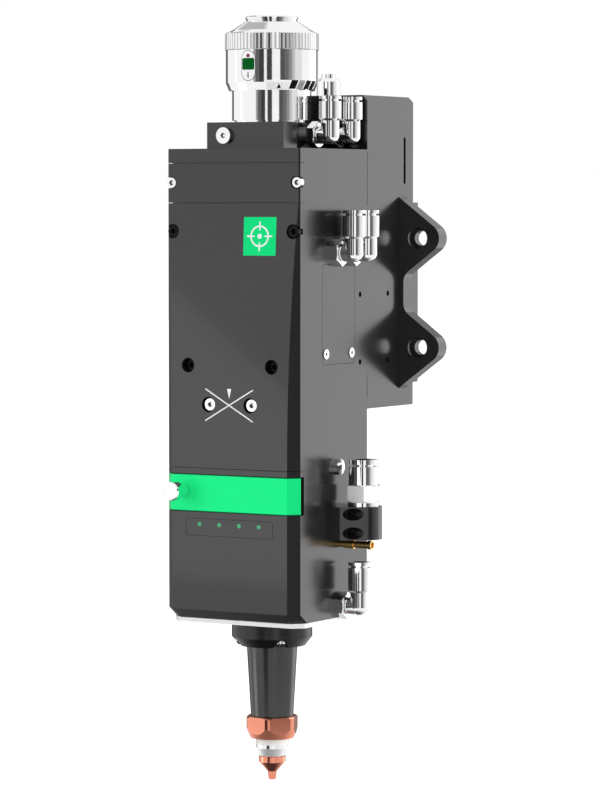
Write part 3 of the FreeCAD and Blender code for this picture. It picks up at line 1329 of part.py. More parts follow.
def centring_unit():
    frame = new_body("centring_frame")
    half = d.lower_cavity_width / 2 - d.seat_gap
    plan = new_sketch(frame, "top", cavity_floor_z)
    rectangle(plan, -half, half, frame_front, cavity_back_y - d.seat_gap)
    frame_top = adjuster_z + d.frame_rise
    frame_height = frame_top - cavity_floor_z
    pad(frame, plan, frame_height)
    spread = d.centring_travel * math.sqrt(2)
    inner = d.slide_half_width + spread + d.running_gap
    bowl = new_sketch(frame, "top", frame_top)
    rectangle(bowl, -inner, inner, frame_inner, beam_y + inner)
    pocket(frame, bowl, frame_top - slide_low + d.running_gap)
    bolt_hole(frame, "top", frame_top, 0, beam_y, d.focus_radius + 1, frame_height + 1)
    for side in (1, -1):
        bolt_hole(frame, "front", -frame_front, d.adjuster_x * side, adjuster_z,
                  d.adjuster_shank / 2 + d.seat_gap, d.frame_wall + 1)

    lug_cut = d.slide_corner + d.slide_lug * math.sqrt(2)
    lower = new_body("lower_slide")
    plan = new_sketch(lower, "top", slide_low, up=beam_y)
    pad(lower, outline(plan, slide_plan(d.slide_corner, d.slide_corner + d.slide_relief)), slide_split - slide_low)
    lug = new_sketch(lower, "top", slide_low, up=beam_y)
    half = d.slide_half_width
    outline(lug, [
        (-half, d.slide_corner - half), (d.slide_corner - half, -half),
        (lug_cut - half, -half), (-half, lug_cut - half),
    ])
    pad(lower, lug, slide_high - slide_low)
    bolt_hole(lower, "top", slide_split, 0, beam_y, d.focus_radius - 1.5, d.slide_thickness + 1)

    upper = new_body("upper_slide")
    low = slide_split + d.running_gap
    plan = new_sketch(upper, "top", low, up=beam_y)
    pad(upper, outline(plan, slide_plan(lug_cut + 0.5, d.slide_corner)), d.slide_thickness)
    collar = circle(new_sketch(upper, "top", low), 0, beam_y, d.focus_radius + 2)
    pad(upper, collar, d.slide_thickness + d.slide_collar)
    top = low + d.slide_thickness + d.slide_collar
    depth = d.lens_thickness + d.ring_height
    bolt_hole(upper, "top", top, 0, beam_y, d.focus_radius + d.seat_gap, depth)
    bolt_hole(upper, "top", top, 0, beam_y, d.focus_radius - d.lens_ledge, d.slide_thickness + d.slide_collar + 1)
    lens("focusing_lens", d.focus_radius, top - depth)
    retaining_ring("focus_ring", d.focus_radius, top - d.ring_height)

    # The tips stop short of the slanted corners, so that the slides have their full travel
    touch = beam_y + d.slide_corner - d.slide_half_width * 2 + d.adjuster_x - d.adjuster_shank / 2
    reach = touch - spread - d.running_gap - adjuster_y - d.adjuster_head_length
    for name, side in (("adjuster_left", -1), ("adjuster_right", 1)):
        item = screw(d.adjuster_head, d.adjuster_head_length, d.adjuster_shank, reach,
                     d.adjuster_socket, d.adjuster_x * side, adjuster_y + d.adjuster_head_length,
                     adjuster_z, "front")
        keep(item, name)


def entry_window():
    body = new_body("entry_window")
    half = d.cavity_width / 2 - d.entry_window_inset
    low = cavity_z - d.window_thickness
    plan = rectangle(new_sketch(body, "top", low), -half, half, beam_y - half, beam_y + half)
    pad(body, plan, d.window_thickness)


# Fasteners and small fixed pieces

def fasteners():
    black = []
    silver = []
    for side in (1, -1):
        for x, drop in ((d.upper_screw_x, d.upper_screw_drop), (d.lower_screw_x, d.lower_screw_drop)):
            black.append(screw(d.cap_head, d.cap_head_height, d.cap_shank, d.cap_length, d.cap_socket,
                               x * side, seat_y - d.under_head, top_z - drop, "front"))
        silver.append(screw(d.band_head, d.band_head_height, d.band_shank, d.cap_length, d.cap_socket,
                            d.band_screw_x * side, seat_y - d.under_head, top_z - d.band_screw_drop,
                            "front"))
    for step in (-0.5, 0.5):
        black.append(screw(d.cap_head, d.cap_head_height, d.cap_shank, d.cap_length, d.cap_socket,
                           gas_screw_seat, front_y + d.gas_screw_front,
                           gas_middle + d.gas_screw_pitch * step, "right"))
    group("black_cap_screws", black)
    group("band_screws", silver)

    block_front = front_y + d.block_inset
    buttons = []
    for x, y, z, facing in (
        (-d.block_screw_x, block_front, top_z + d.block_screw_rise, "front"),
        (side_x, front_y + d.plug_front, plug_z, "right"),
    ):
        buttons.append(screw(d.button_head, d.button_height, d.button_shank, d.button_length,
                             d.button_socket, x, y, z, facing))
    group("button_screws", buttons)

    small = []
    for along in (d.side_screw_inset, d.side_plate_length - d.side_screw_inset):
        small.append(screw(d.side_screw_head - 0.4, 1.6, d.band_shank, 8.0, 2.0,
                           side_x - d.side_plate_thickness / 2, front_y + d.side_plate_front + along,
                           top_z - d.side_plate_drop - d.side_plate_height + d.side_screw_rise, "right"))
    group("side_cover_screws", small)

    collar = []
    for x in (collar_reach, -collar_reach):
        for y in (collar_reach, -collar_reach):
            collar.append(screw(d.cap_head, d.cap_head_height, d.cap_shank, d.flange_screw_length,
                                d.cap_socket, x, beam_y + y,
                                cone_z - 1 + d.flange_chamfer_height + 2.5, "down"))
    group("collar_screws", collar)

    lights = []
    for step in (-1.5, -0.5, 0.5, 1.5):
        pipe = cylinder(d.light_radius, d.light_length)
        lights.append(put(pipe, d.light_pitch * step, lower_front_y + d.light_length, light_z,
                          TURNS["front"]))
    group("status_lights", lights)


main_housing()
top_band()
front_cover()
side_cover()
rear_housing()
cable_gland()
collimation_block()
fibre_collar()
hand_wheel()
base_plate()
sensor_collar()
nozzle_stack()
fittings()
gas_block()
gas_fitting()
sensor_connector()
lens_drawer()
drawer_knob()
lens_carriage()
drive()
centring_unit()
entry_window()
fasteners()
doc.recompute()

failed = [item.Label for item in doc.Objects if "Invalid" in item.State or "Error" in item.State]
for node in nodes:
    if node.Shape.isNull() or not node.Shape.isValid():
        failed.append(node.Label)
if failed:
    raise RuntimeError("failed: " + ", ".join(failed))

for node in nodes:
    node.Shape.exportStep(f"parts/{node.Label}.step")
    print(f"{node.Label:20s} solids {len(node.Shape.Solids)} volume {node.Shape.Volume:10.1f}")
print(len(nodes), "nodes")
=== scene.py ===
import math

import bmesh
import bpy
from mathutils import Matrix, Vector
from mathutils.bvhtree import BVHTree


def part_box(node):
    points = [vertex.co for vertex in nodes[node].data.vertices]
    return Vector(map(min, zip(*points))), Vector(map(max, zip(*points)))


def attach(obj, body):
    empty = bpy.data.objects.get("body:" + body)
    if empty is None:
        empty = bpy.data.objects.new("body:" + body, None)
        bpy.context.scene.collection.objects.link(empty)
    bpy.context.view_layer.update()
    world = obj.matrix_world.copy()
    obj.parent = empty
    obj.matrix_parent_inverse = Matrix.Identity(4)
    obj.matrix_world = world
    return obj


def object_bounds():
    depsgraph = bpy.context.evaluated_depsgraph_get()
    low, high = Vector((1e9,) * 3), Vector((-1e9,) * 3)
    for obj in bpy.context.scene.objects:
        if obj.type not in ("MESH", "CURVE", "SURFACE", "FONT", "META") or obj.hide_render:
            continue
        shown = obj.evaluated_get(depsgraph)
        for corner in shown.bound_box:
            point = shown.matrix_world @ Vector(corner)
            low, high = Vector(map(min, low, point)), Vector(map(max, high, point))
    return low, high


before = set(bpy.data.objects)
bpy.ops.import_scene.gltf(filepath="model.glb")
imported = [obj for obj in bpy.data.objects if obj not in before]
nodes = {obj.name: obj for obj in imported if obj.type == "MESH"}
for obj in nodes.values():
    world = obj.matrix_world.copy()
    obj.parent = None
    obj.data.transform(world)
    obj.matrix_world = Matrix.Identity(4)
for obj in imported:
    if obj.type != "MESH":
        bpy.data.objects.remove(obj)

# Looks of the laser cutting head, in metres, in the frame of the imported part.
# X points right, Y points back into the machine and Z points up along the beam.

cad_low, cad_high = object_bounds()
MM = 0.001
sleeve_low, sleeve_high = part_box("collar_sleeve")
beam = Vector(((sleeve_low.x + sleeve_high.x) / 2, (sleeve_low.y + sleeve_high.y) / 2, 0))
sleeve_radius = (sleeve_high.x - sleeve_low.x) / 2


# The camera of the photograph

CAMERA_PLACE = (1.0876, -1.9189, 0.0526)
CAMERA_AZIMUTH = 30.216
CAMERA_TILT = 86.901
CAMERA_LENS = 161.43
SENSOR_WIDTH = 36
CAMERA_START = 0.05
CAMERA_END = 60


def make_camera():
    camera = bpy.data.objects.new("camera", bpy.data.cameras.new("camera"))
    bpy.context.scene.collection.objects.link(camera)
    camera.data.sensor_width = SENSOR_WIDTH
    camera.data.lens = CAMERA_LENS
    camera.data.clip_start = CAMERA_START
    camera.data.clip_end = CAMERA_END
    camera.location = CAMERA_PLACE
    camera.rotation_euler = (math.radians(CAMERA_TILT), 0, math.radians(CAMERA_AZIMUTH))
    bpy.context.scene.camera = camera


# Node trees: every look is a small tree of shader nodes

class Tree:
    """A material's node tree. Each call of add makes one node; a socket given as a value is linked."""

    def __init__(self, name, world=None):
        self.owner = world or bpy.data.materials.new(name)
        self.owner.use_nodes = True
        self.tree = self.owner.node_tree
        self.tree.nodes.clear()

    def add(self, kind, inputs=None, **settings):
        node = self.tree.nodes.new(kind)
        for key, value in settings.items():
            setattr(node, key, value)
        for key, value in (inputs or {}).items():
            if isinstance(value, bpy.types.NodeSocket):
                self.tree.links.new(value, node.inputs[key])
            else:
                node.inputs[key].default_value = value
        return node

    def place(self):
        return self.add("ShaderNodeTexCoord").outputs["Object"]

    def parts(self, vector):
        return self.add("ShaderNodeSeparateXYZ", {0: vector}).outputs

    def maths(self, operation, first, second=0.0):
        return self.add("ShaderNodeMath", {0: first, 1: second}, operation=operation).outputs[0]

    def distance(self, place, centre):
        """The level distance of a place from the upright axis through a centre."""
        arm = self.add("ShaderNodeVectorMath", {0: place, 1: centre}, operation="SUBTRACT").outputs[0]
        flat = self.add("ShaderNodeVectorMath", {0: arm, 1: (1, 1, 0)}, operation="MULTIPLY").outputs[0]
        return self.add("ShaderNodeVectorMath", {0: flat}, operation="LENGTH").outputs["Value"]

    def inside(self, value, low, high):
        """1 where a value lies between two limits, and 0 elsewhere."""
        above = self.maths("GREATER_THAN", value, low)
        return self.maths("MULTIPLY", above, self.maths("LESS_THAN", value, high))

    def on_rays(self, path, *kinds):
        """1 on light rays of the kinds named, and 0 on all others."""
        share = path.outputs[f"Is {kinds[0]} Ray"]
        for kind in kinds[1:]:
            share = self.maths("MAXIMUM", share, path.outputs[f"Is {kind} Ray"])
        return share

    def noise(self, vector, scale, detail):
        node = self.add("ShaderNodeTexNoise", {"Vector": vector, "Scale": scale, "Detail": detail})
        return node.outputs[0]

    def between(self, value, low, high, from_low=0.3, from_high=0.7):
        node = self.add("ShaderNodeMapRange", {
            "Value": value, "From Min": from_low, "From Max": from_high, "To Min": low, "To Max": high,
        })
        return node.outputs[0]

    def blend(self, share, first, second):
        node = self.add("ShaderNodeMix", {"Factor": share}, data_type="RGBA")
        for socket, value in ((node.inputs[6], first), (node.inputs[7], second)):
            if isinstance(value, bpy.types.NodeSocket):
                self.tree.links.new(value, socket)
            else:
                socket.default_value = (*value, 1)
        return node.outputs[2]

    def clouded(self, cloud, colour, darker, lighter=0.0):
        """The colour, darker and lighter by two shares from cloud to cloud."""
        return self.blend(self.between(cloud, 0, 1), shade(colour, 1 - darker), shade(colour, 1 + lighter))

    def bump(self, height, depth):
        return self.add("ShaderNodeBump", {"Height": height, "Distance": depth}).outputs[0]

    def glow(self, strength):
        """White light of one strength."""
        return self.add("ShaderNodeEmission", {"Color": (1, 1, 1, 1), "Strength": strength}).outputs[0]

    def finish(self, shader):
        self.add("ShaderNodeOutputMaterial", {"Surface": shader})
        return self.owner

    def surface(self, **inputs):
        words = {key.replace("_", " "): value for key, value in inputs.items()}
        for key, value in words.items():
            if isinstance(value, tuple) and len(value) == 3 and key != "Normal":
                words[key] = (*value, 1)
        return self.finish(self.add("ShaderNodeBsdfPrincipled", words).outputs[0])


def shade(colour, share):
    return tuple(min(1.0, part * share) for part in colour)


def linear(code):
    """The linear colour of a hexadecimal sRGB code."""
    parts = (int(code[i:i + 2], 16) / 255 for i in (0, 2, 4))
    return tuple(p / 12.92 if p <= 0.04045 else ((p + 0.055) / 1.055) ** 2.4 for p in parts)


# Looks

BLAST_GRAIN = 2600
BLAST_DEPTH = 0.004 * MM
BLAST_SPREAD = 0.025
BLAST_CLOUDS = 0.07
BLAST_CLOUD_SIZE = 14
EAR_CLOUDS = 0.1
EAR_CLEARANCE = 0.2 * MM


def blasted(name, colour, roughness, ior, grain=BLAST_GRAIN, ear_colour=None):
    """Bead-blasted and anodised or painted metal: fine grain, faint clouds and soft gloss.

    Ear colour is what the rear housing has on the ears beside its box.
    """
    t = Tree(name)
    place = t.place()
    fine = t.noise(place, grain, 2)
    cloud = t.noise(place, BLAST_CLOUD_SIZE, 4)
    coat = t.clouded(cloud, colour, BLAST_CLOUDS, BLAST_CLOUDS)
    if ear_colour:
        across = t.maths("ABSOLUTE", t.parts(place)[0])
        ear = t.maths("GREATER_THAN", across, half_width + EAR_CLEARANCE)
        coat = t.blend(ear, coat, t.clouded(cloud, ear_colour, EAR_CLOUDS, EAR_CLOUDS))
    return t.surface(
        Base_Color=coat,
        Roughness=t.between(fine, roughness - BLAST_SPREAD, roughness + BLAST_SPREAD),
        IOR=ior, Normal=t.bump(fine, BLAST_DEPTH),
    )


SMEAR_SIZE = 90
SMEAR_SHADE = 0.04
FINE_DEPTH = 0.0006 * MM
HAIRLINES = (900, 900, 60)
# How far into small recesses the painted shade reaches
RECESS_SHADE_REACH = 1.6 * MM


def plated(name, colour, roughness, metallic=1.0, recess_shade=None):
    """Plated and polished metal: almost a mirror, with hairlines and faint smears.

    The last argument is a painted shade: a dark colour laid deep inside small recesses, such as a screw's
    socket.
    """
    t = Tree(name)
    place = t.place()
    smear = t.noise(place, SMEAR_SIZE, 3)
    hair = t.noise(t.add("ShaderNodeMapping", {"Vector": place, "Scale": HAIRLINES}).outputs[0], 4, 2)
    coat = t.clouded(smear, colour, SMEAR_SHADE)
    # Painted shade: ambient occlusion lays the dark colour deep inside small recesses
    if recess_shade:
        occlusion = t.add("ShaderNodeAmbientOcclusion", {"Distance": RECESS_SHADE_REACH}, only_local=True, samples=8)
        coat = t.blend(t.between(occlusion.outputs["AO"], 0, 1, 0.45, 0.8), recess_shade, coat)
    return t.surface(
        Base_Color=coat,
        Metallic=metallic, Roughness=t.between(smear, roughness * 0.6, roughness * 1.4),
        IOR=1.5, Normal=t.bump(hair, FINE_DEPTH),
    )


def nickel_fitting(name, colour, low, high):
    """The gas fitting: polished like the elbows, and satin on its hexagon between two heights."""
    t = Tree(name)
    place = t.place()
    smear = t.noise(place, SMEAR_SIZE, 3)
    satin = t.inside(t.parts(place)[2], low, high)
    return t.surface(
        Base_Color=t.clouded(smear, colour, 0.03),
        Metallic=t.between(satin, 1.0, 0.1, 0.0, 1.0), Roughness=t.between(satin, 0.05, 0.4, 0.0, 1.0),
        Normal=t.bump(smear, FINE_DEPTH),
    )


def lacquer_with_rim_shade(name, colour, rim_shade_colour, box, rim):
    """The drawer's lacquer: an even colour, with painted shade in a dark rim along its top, its foot and
    its left end.
    """
    t = Tree(name)
    place = t.place()
    smear = t.noise(place, SMEAR_SIZE, 3)
    across, _, height = t.parts(place)
    # Painted shade: outside this face, along the top, the foot and the left end, the lacquer takes the
    # dark rim colour
    face = t.inside(height, box[0].z + rim, box[1].z - rim)
    face = t.maths("MULTIPLY", face, t.maths("GREATER_THAN", across, box[0].x + 2 * rim))
    return t.surface(
        Base_Color=t.blend(face, rim_shade_colour, t.clouded(smear, colour, SMEAR_SHADE)),
        Metallic=0.2, Roughness=t.between(smear, 0.3, 0.34),
        IOR=1.2, Normal=t.bump(smear, FINE_DEPTH),
    )


RING_GRAIN = 5200
RING_DEPTH = 0.0012 * MM


def turned_metal(name, colour, roughness, clouds=0.06):
    """Metal turned on a lathe about the beam's axis: fine rings that run round the piece."""
    t = Tree(name)
    place = t.place()
    groove = t.add("ShaderNodeCombineXYZ", {0: t.distance(place, beam), 1: t.parts(place)[2]}).outputs[0]
    ring = t.noise(groove, RING_GRAIN, 2)
    cloud = t.noise(place, 60, 3)
    return t.surface(
        Base_Color=t.clouded(cloud, colour, clouds),
        Metallic=1.0, Roughness=t.between(ring, roughness * 0.7, roughness * 1.3),
        Normal=t.bump(ring, RING_DEPTH),
    )


PEEL_GRAIN = 1800
PEEL_DEPTH = 0.003 * MM


def plastic(name, colour, roughness, ior=1.5, clouds=0.04):
    """Moulded plastic, print or glazed ceramic: even colour with a fine orange-peel skin."""
    t = Tree(name)
    place = t.place()
    peel = t.noise(place, PEEL_GRAIN, 2)
    cloud = t.noise(place, 40, 3)
    return t.surface(
        Base_Color=t.clouded(cloud, colour, clouds, clouds),
        Roughness=t.between(peel, roughness * 0.85, roughness * 1.15),
        IOR=ior, Normal=t.bump(peel, PEEL_DEPTH),
    )


def lens_glass(name, tint):
    """Coated optical glass with a trace of dust."""
    t = Tree(name)
    place = t.place()
    dust = t.noise(place, 700, 2)
    cloud = t.noise(place, 30, 2)
    return t.surface(
        Base_Color=t.blend(t.between(cloud, 0, 1), tint, (1.0, 1.0, 1.0)),
        Roughness=t.between(dust, 0.0, 0.04), IOR=1.46, Transmission_Weight=1.0,
    )


def lamp_lens(name, colour):
    """Small status lamp: a coloured lens that glows faintly."""
    t = Tree(name)
    glow = t.clouded(t.noise(t.place(), 900, 2), colour, 0.3)
    return t.surface(
        Base_Color=glow, Roughness=0.2, Emission_Color=glow, Emission_Strength=0.35,
        Coat_Weight=0.5,
    )


half_width = (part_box("main_housing")[1].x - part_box("main_housing")[0].x) / 2
block_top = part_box("gas_block")[1].z
hexagon_low = block_top + 2.2 * MM
hexagon_high = block_top + 12.2 * MM
GREY = (0.012, 0.012, 0.012)
EAR_GREY = (0.019, 0.019, 0.019)
BODY_IOR = 1.65
CHROME = (0.93, 0.93, 0.935)
STEEL = (0.93, 0.93, 0.93)
# Painted shade for the small recesses of the bright steel parts
STEEL_RECESS_SHADE = (0.02, 0.02, 0.02)
NICKEL = (0.95, 0.95, 0.95)
COPPER = (0.90, 0.33, 0.215)
BRASS = (0.84, 0.55, 0.20)
GREEN = linear("18F38C")
EMBLEM_GREEN = linear("15E383")
LAMP_GREEN = linear("1A9A60")
# Painted shade on the drawer's rim, and the width of that rim
DRAWER_RIM_SHADE = (0.0, 0.16, 0.05)
DRAWER_RIM_SHADE_WIDTH = 0.45 * MM
drawer_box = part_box("drawer_front")

looks = {
    "housing": blasted("anodised_grey", GREY, 0.2, BODY_IOR),
    "rear": blasted("anodised_rear", GREY, 0.2, BODY_IOR, ear_colour=EAR_GREY),
    "chrome": plated("chrome", CHROME, 0.05),
    "collar": turned_metal("turned_chrome", CHROME, 0.07),
    "bright_steel": plated("bright_steel", STEEL, 0.14, recess_shade=STEEL_RECESS_SHADE),
    "pale_steel": plated("pale_steel", NICKEL, 0.45, metallic=0.3),
    "fitting": nickel_fitting("nickel_fitting", NICKEL, hexagon_low, hexagon_high),
    "black_turned": turned_metal("black_turned", (0.075, 0.073, 0.073), 0.17),
    "black_satin": turned_metal("black_satin", (0.055, 0.055, 0.053), 0.3),
    "black": blasted("black_anodised", (0.008, 0.008, 0.008), 0.2, 1.66),
    "black_oxide": blasted("black_oxide", (0.006, 0.006, 0.006), 0.25, 1.2, grain=3400),
    "drawer": lacquer_with_rim_shade("green_lacquer", GREEN, DRAWER_RIM_SHADE, drawer_box, DRAWER_RIM_SHADE_WIDTH),
    "tray": plastic("black_tray", (0.003, 0.004, 0.003), 0.5, ior=1.04, clouds=0.05),
    "emblem": plastic("green_plate", EMBLEM_GREEN, 0.35, ior=1.12),
    "copper": turned_metal("turned_copper", COPPER, 0.12, clouds=0.12),
    "brass": plated("brass", BRASS, 0.12),
    "ceramic": plastic("ceramic", (0.97, 0.95, 0.90), 0.18, ior=1.8, clouds=0.01),
    "glass": lens_glass("coated_glass", (0.93, 0.97, 1.0)),
    "rubber": plastic("rubber", (0.012, 0.012, 0.012), 0.6),
    "motor": blasted("motor_paint", (0.012, 0.012, 0.012), 0.35, 1.5),
    "lamp": lamp_lens("lamp_lens", LAMP_GREEN),
    "white_print": plastic("white_print", (0.97, 0.97, 0.97), 0.4, ior=1.8, clouds=0.02),
    "grey_print": plastic("grey_print", (0.30, 0.30, 0.30), 0.4, clouds=0.03),
    "black_print": plastic("black_print", (0.004, 0.004, 0.004), 0.35, ior=1.15, clouds=0.05),
    "faint_print": plastic("faint_print", (0.045, 0.045, 0.045), 0.4, ior=1.15, clouds=0.05),
    "dark_green": plastic("dark_green_window", (0.0, 0.10, 0.014), 0.3, ior=1.12, clouds=0.1),
    "red_print": plastic("red_print", (0.18, 0.012, 0.012), 0.35, clouds=0.05),
}
NODE_LOOKS = {
    "housing": (
        "main_housing", "top_band", "front_cover", "side_cover", "collimation_block",
        "centring_frame", "screw_bearing", "lens_carriage",
    ),
    "rear": ("rear_housing",),
    "collar": ("collar_base", "collar_sleeve", "hand_wheel", "nozzle_seat"),
    "bright_steel": (
        "band_screws", "button_screws", "side_cover_screws", "collar_screws", "guide_rails", "lead_screw",
        "adjuster_left", "adjuster_right", "lower_slide", "upper_slide",
    ),
    "pale_steel": ("base_plate",),
    "black_turned": ("nozzle_cone",),
    "black_satin": ("sensor_collar",),
    "black": ("gas_block",),
    "tray": ("drawer_tray",),
    "black_oxide": ("black_cap_screws", "carriage_ring", "focus_ring"),
    "drawer": ("drawer_front",),
    "emblem": ("emblem_plate",),
    "copper": ("lock_ring", "nozzle"),
    "brass": ("sensor_connector", "carriage_nut"),
    "fitting": ("gas_fitting",),
    "ceramic": ("ceramic_ring",),
    "glass": ("protective_window", "collimating_lens", "focusing_lens", "entry_window"),
    "rubber": ("window_seal",),
    "motor": ("drive_motor",),
    "lamp": ("status_lights",),
}


def dress_nodes():
    look_of = {node: look for look, members in NODE_LOOKS.items() for node in members}
    for name, item in nodes.items():
        look = looks[look_of.get(name, "chrome")]
        for slot in item.material_slots:
            slot.material = look


# Printed marks and plates, laid on the surfaces that carry them

PRINT_THICKNESS = 0.04 * MM
PRINT_LIFT = 0.05 * MM
WELD_DISTANCE = 0.001 * MM


def new_piece(name, faces, look, body="housing"):
    """A thin plate from a list of faces, each a list of points in its middle layer."""
    mesh = bmesh.new()
    for corners in faces:
        mesh.faces.new([mesh.verts.new(corner) for corner in corners])
    bmesh.ops.remove_doubles(mesh, verts=mesh.verts, dist=WELD_DISTANCE)
    bmesh.ops.recalc_face_normals(mesh, faces=mesh.faces)
    data = bpy.data.meshes.new(name)
    mesh.to_mesh(data)
    mesh.free()
    item = bpy.data.objects.new(name, data)
    bpy.context.scene.collection.objects.link(item)
    data.materials.append(looks[look])
    data.shade_smooth()
    plate = item.modifiers.new("thickness", "SOLIDIFY")
    plate.thickness = PRINT_THICKNESS
    plate.offset = 0
    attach(item, body)


def grid(columns, rows, point):
    """The faces of a grid over two lists of values; point gives a corner's place."""
    faces = []
    for left, right in zip(columns, columns[1:]):
        for low, high in zip(rows, rows[1:]):
            faces.append([point(left, low), point(right, low), point(right, high), point(left, high)])
    return faces


def steps(low, high, count):
    return [low + (high - low) * i / count for i in range(count + 1)]


def bearing(azimuth):
    """The level direction at an azimuth, in degrees from the front towards the right."""
    turn = math.radians(azimuth)
    return Vector((math.sin(turn), -math.cos(turn), 0))


scale_low = sleeve_low.z
scale_high = scale_low + 4.5 * MM
scale_radius = sleeve_radius - 1.9 * MM
PATCH_COLUMNS = 12
PATCH_ROWS = 24


def on_collar(azimuth, height, lift):
    """A point on the sleeve or on the cone below it."""
    rise = max(0.0, min(1.0, (height - scale_low) / (scale_high - scale_low)))
    radius = scale_radius + (sleeve_radius - scale_radius) * rise + lift
    return beam + bearing(azimuth) * radius + Vector((0, 0, height))


def collar_patch(name, outline, look, lift):
    """A patch on the collar. Outline gives, for a share from 0 to 1, its height and two azimuths."""
    def corner(across, share):
        z, first, last = outline(share)
        return on_collar(first + (last - first) * across, z, lift)

    faces = grid(steps(0, 1, PATCH_COLUMNS), steps(0, 1, PATCH_ROWS), corner)
    new_piece(name, faces, look)


def obround(middle, half_height, half, corner):
    """The outline of an upright plate with round corners, as collar_patch wants it."""
    def outline(share):
        rise = -half_height * math.cos(math.pi * share)
        edge = max(0.0, corner - (half_height - abs(rise)))
        width = half - corner + math.sqrt(max(0.0, corner ** 2 - edge ** 2))
        angle = math.degrees(max(width, 0.01 * MM) / sleeve_radius)
        return middle + rise, -angle, angle
    return outline


label_middle = scale_high + 9.65 * MM
# Each layer of the label, in millimetres: rise of its middle, half height, half width, corner and
# lift, and then its look and its slot
LABEL_LAYERS = {
    "label_rim": (0.0, 8.95, 4.8, 4.8, 0.04, "black_print", "black_steel"),
    "label_plate": (0.0, 8.65, 4.5, 4.5, 0.1, "white_print", "ceramic"),
    "label_window": (1.0, 3.4, 4.1, 1.0, 0.2, "dark_green", "signal_green"),
    "label_dot": (5.85, 1.15, 1.15, 1.15, 0.16, "red_print", "black_steel"),
    "label_mark": (-5.55, 1.7, 0.35, 0.35, 0.16, "black_print", "black_steel"),
}


def collar_label():
    """The upright label on the sleeve: a rim, a plate, a green window, a red dot and a dark mark."""
    for name, (rise, half_height, half, corner, lift, look, slot) in LABEL_LAYERS.items():
        outline = obround(label_middle + rise * MM, half_height * MM, half * MM, corner * MM)
        collar_patch(name, outline, look, lift * MM)


band_low = scale_low + 0.6 * MM
band_high = scale_high + 1.15 * MM
BAND_START = 23.6
BAND_END = 103.0
BLOCK_START = 53.3
BLOCK_PITCH = 11.4
BLOCK_WIDTH = 9.3
BLOCK_SLANT = 2.6
BLOCK_LOOKS = ("black_print", "grey_print", "black_print", "black_print")
BLOCK_LIFT = 0.1 * MM
POINTER_AZIMUTH = 39.6
POINTER_SPREAD = 2.6
POINTER_TIP = 0.02
POINTER_RISE = 0.3 * MM
POINTER_HEIGHT = 2.6 * MM


def scale_band():
    """The white band round the collar's cone, with its dark blocks and a small triangle."""
    def stretch(start, end, slant=0.0):
        def outline(share):
            z = band_low + (band_high - band_low) * share
            return z, start + slant * share, end + slant * share
        return outline

    def pointer(share):
        half = POINTER_SPREAD * (1 - share) + POINTER_TIP
        z = band_low + POINTER_RISE + POINTER_HEIGHT * share
        return z, POINTER_AZIMUTH - half, POINTER_AZIMUTH + half

    collar_patch("scale_band", stretch(BAND_START, BAND_END), "white_print", PRINT_LIFT)
    for index, look in enumerate(BLOCK_LOOKS):
        start = BLOCK_START + index * BLOCK_PITCH
        block = stretch(start, start + BLOCK_WIDTH, BLOCK_SLANT)
        collar_patch(f"scale_block_{index}", block, look, BLOCK_LIFT)
    collar_patch("scale_pointer", pointer, "black_print", BLOCK_LIFT)


def surface_of(node):
    """A function that gives the front surface of a CAD node at a place seen from the front."""
    mesh = nodes[node].data
    tree = BVHTree.FromPolygons([v.co for v in mesh.vertices], [list(p.vertices) for p in mesh.polygons])

    def front(x, z, lift):
        hit = tree.ray_cast(Vector((x, -1.0, z)), Vector((0, 1, 0)))
        return Vector((x, hit[0].y - lift, z))
    return front


RUN_STEPS = 12
RING_STEPS = 48


def run_faces(front, begin, end, width, lift):
    """The faces of one straight run between two places given in x and z."""
    run = Vector(end) - Vector(begin)
    side = Vector((-run.y, run.x)).normalized() * width / 2

    def corner(along, across):
        x, z = Vector(begin) + run * along + side * across
        return front(x, z, lift)
    return grid(steps(0, 1, RUN_STEPS), (-1, 1), corner)


def front_strip(name, front, path, width, look, lift=PRINT_LIFT):
    """A strip of one width along the straight runs of a path."""
    faces = []
    for begin, end in zip(path, path[1:]):
        faces += run_faces(front, begin, end, width, lift)
    new_piece(name, faces, look)


def ring_faces(front, x, z, inner, outer):
    def corner(turn, radius):
        angle = math.radians(turn)
        return front(x + radius * math.cos(angle), z + radius * math.sin(angle), PRINT_LIFT)
    return grid(steps(0, 360, RING_STEPS), (inner, outer), corner)


CROSS_HALF_WIDTH = 16.3 * MM
CROSS_HALF_HEIGHT = 9.35 * MM
CROSS_Z = -63.75 * MM
ARROW_TOP = -54.1 * MM
ARROW_TIP = -60.0 * MM
ARROW_HALF_WIDTH = 1.45 * MM
ARROW_BLUNTNESS = 1.01
MARK_WIDTH = 0.75 * MM
SECOND_LIFT = 0.08 * MM


def centring_marks():
    """The cross behind the two centring screws and the small arrow above it."""
    front = surface_of("front_cover")
    for name, side in (("cross_line_falling", 1), ("cross_line_rising", -1)):
        path = [(-CROSS_HALF_WIDTH, CROSS_Z + side * CROSS_HALF_HEIGHT),
                (CROSS_HALF_WIDTH, CROSS_Z - side * CROSS_HALF_HEIGHT)]
        lift = PRINT_LIFT if side > 0 else SECOND_LIFT
        front_strip(name, front, path, MARK_WIDTH, "white_print", lift)

    def arrow(share, side):
        z = ARROW_TOP + (ARROW_TIP - ARROW_TOP) * share
        return front(side * ARROW_HALF_WIDTH * (ARROW_BLUNTNESS - share), z, PRINT_LIFT)

    new_piece("centre_arrow", grid(steps(0, 1, 8), steps(-1, 1, 4), arrow), "white_print")


PANEL_HALF_WIDTH = 29.45 * MM
PANEL_HIGH = -130.7 * MM
PANEL_LOW = -140.8 * MM
PANEL_CORNER = 1.5 * MM
PANEL_LINE = 0.3 * MM
ARC_STEPS = 6


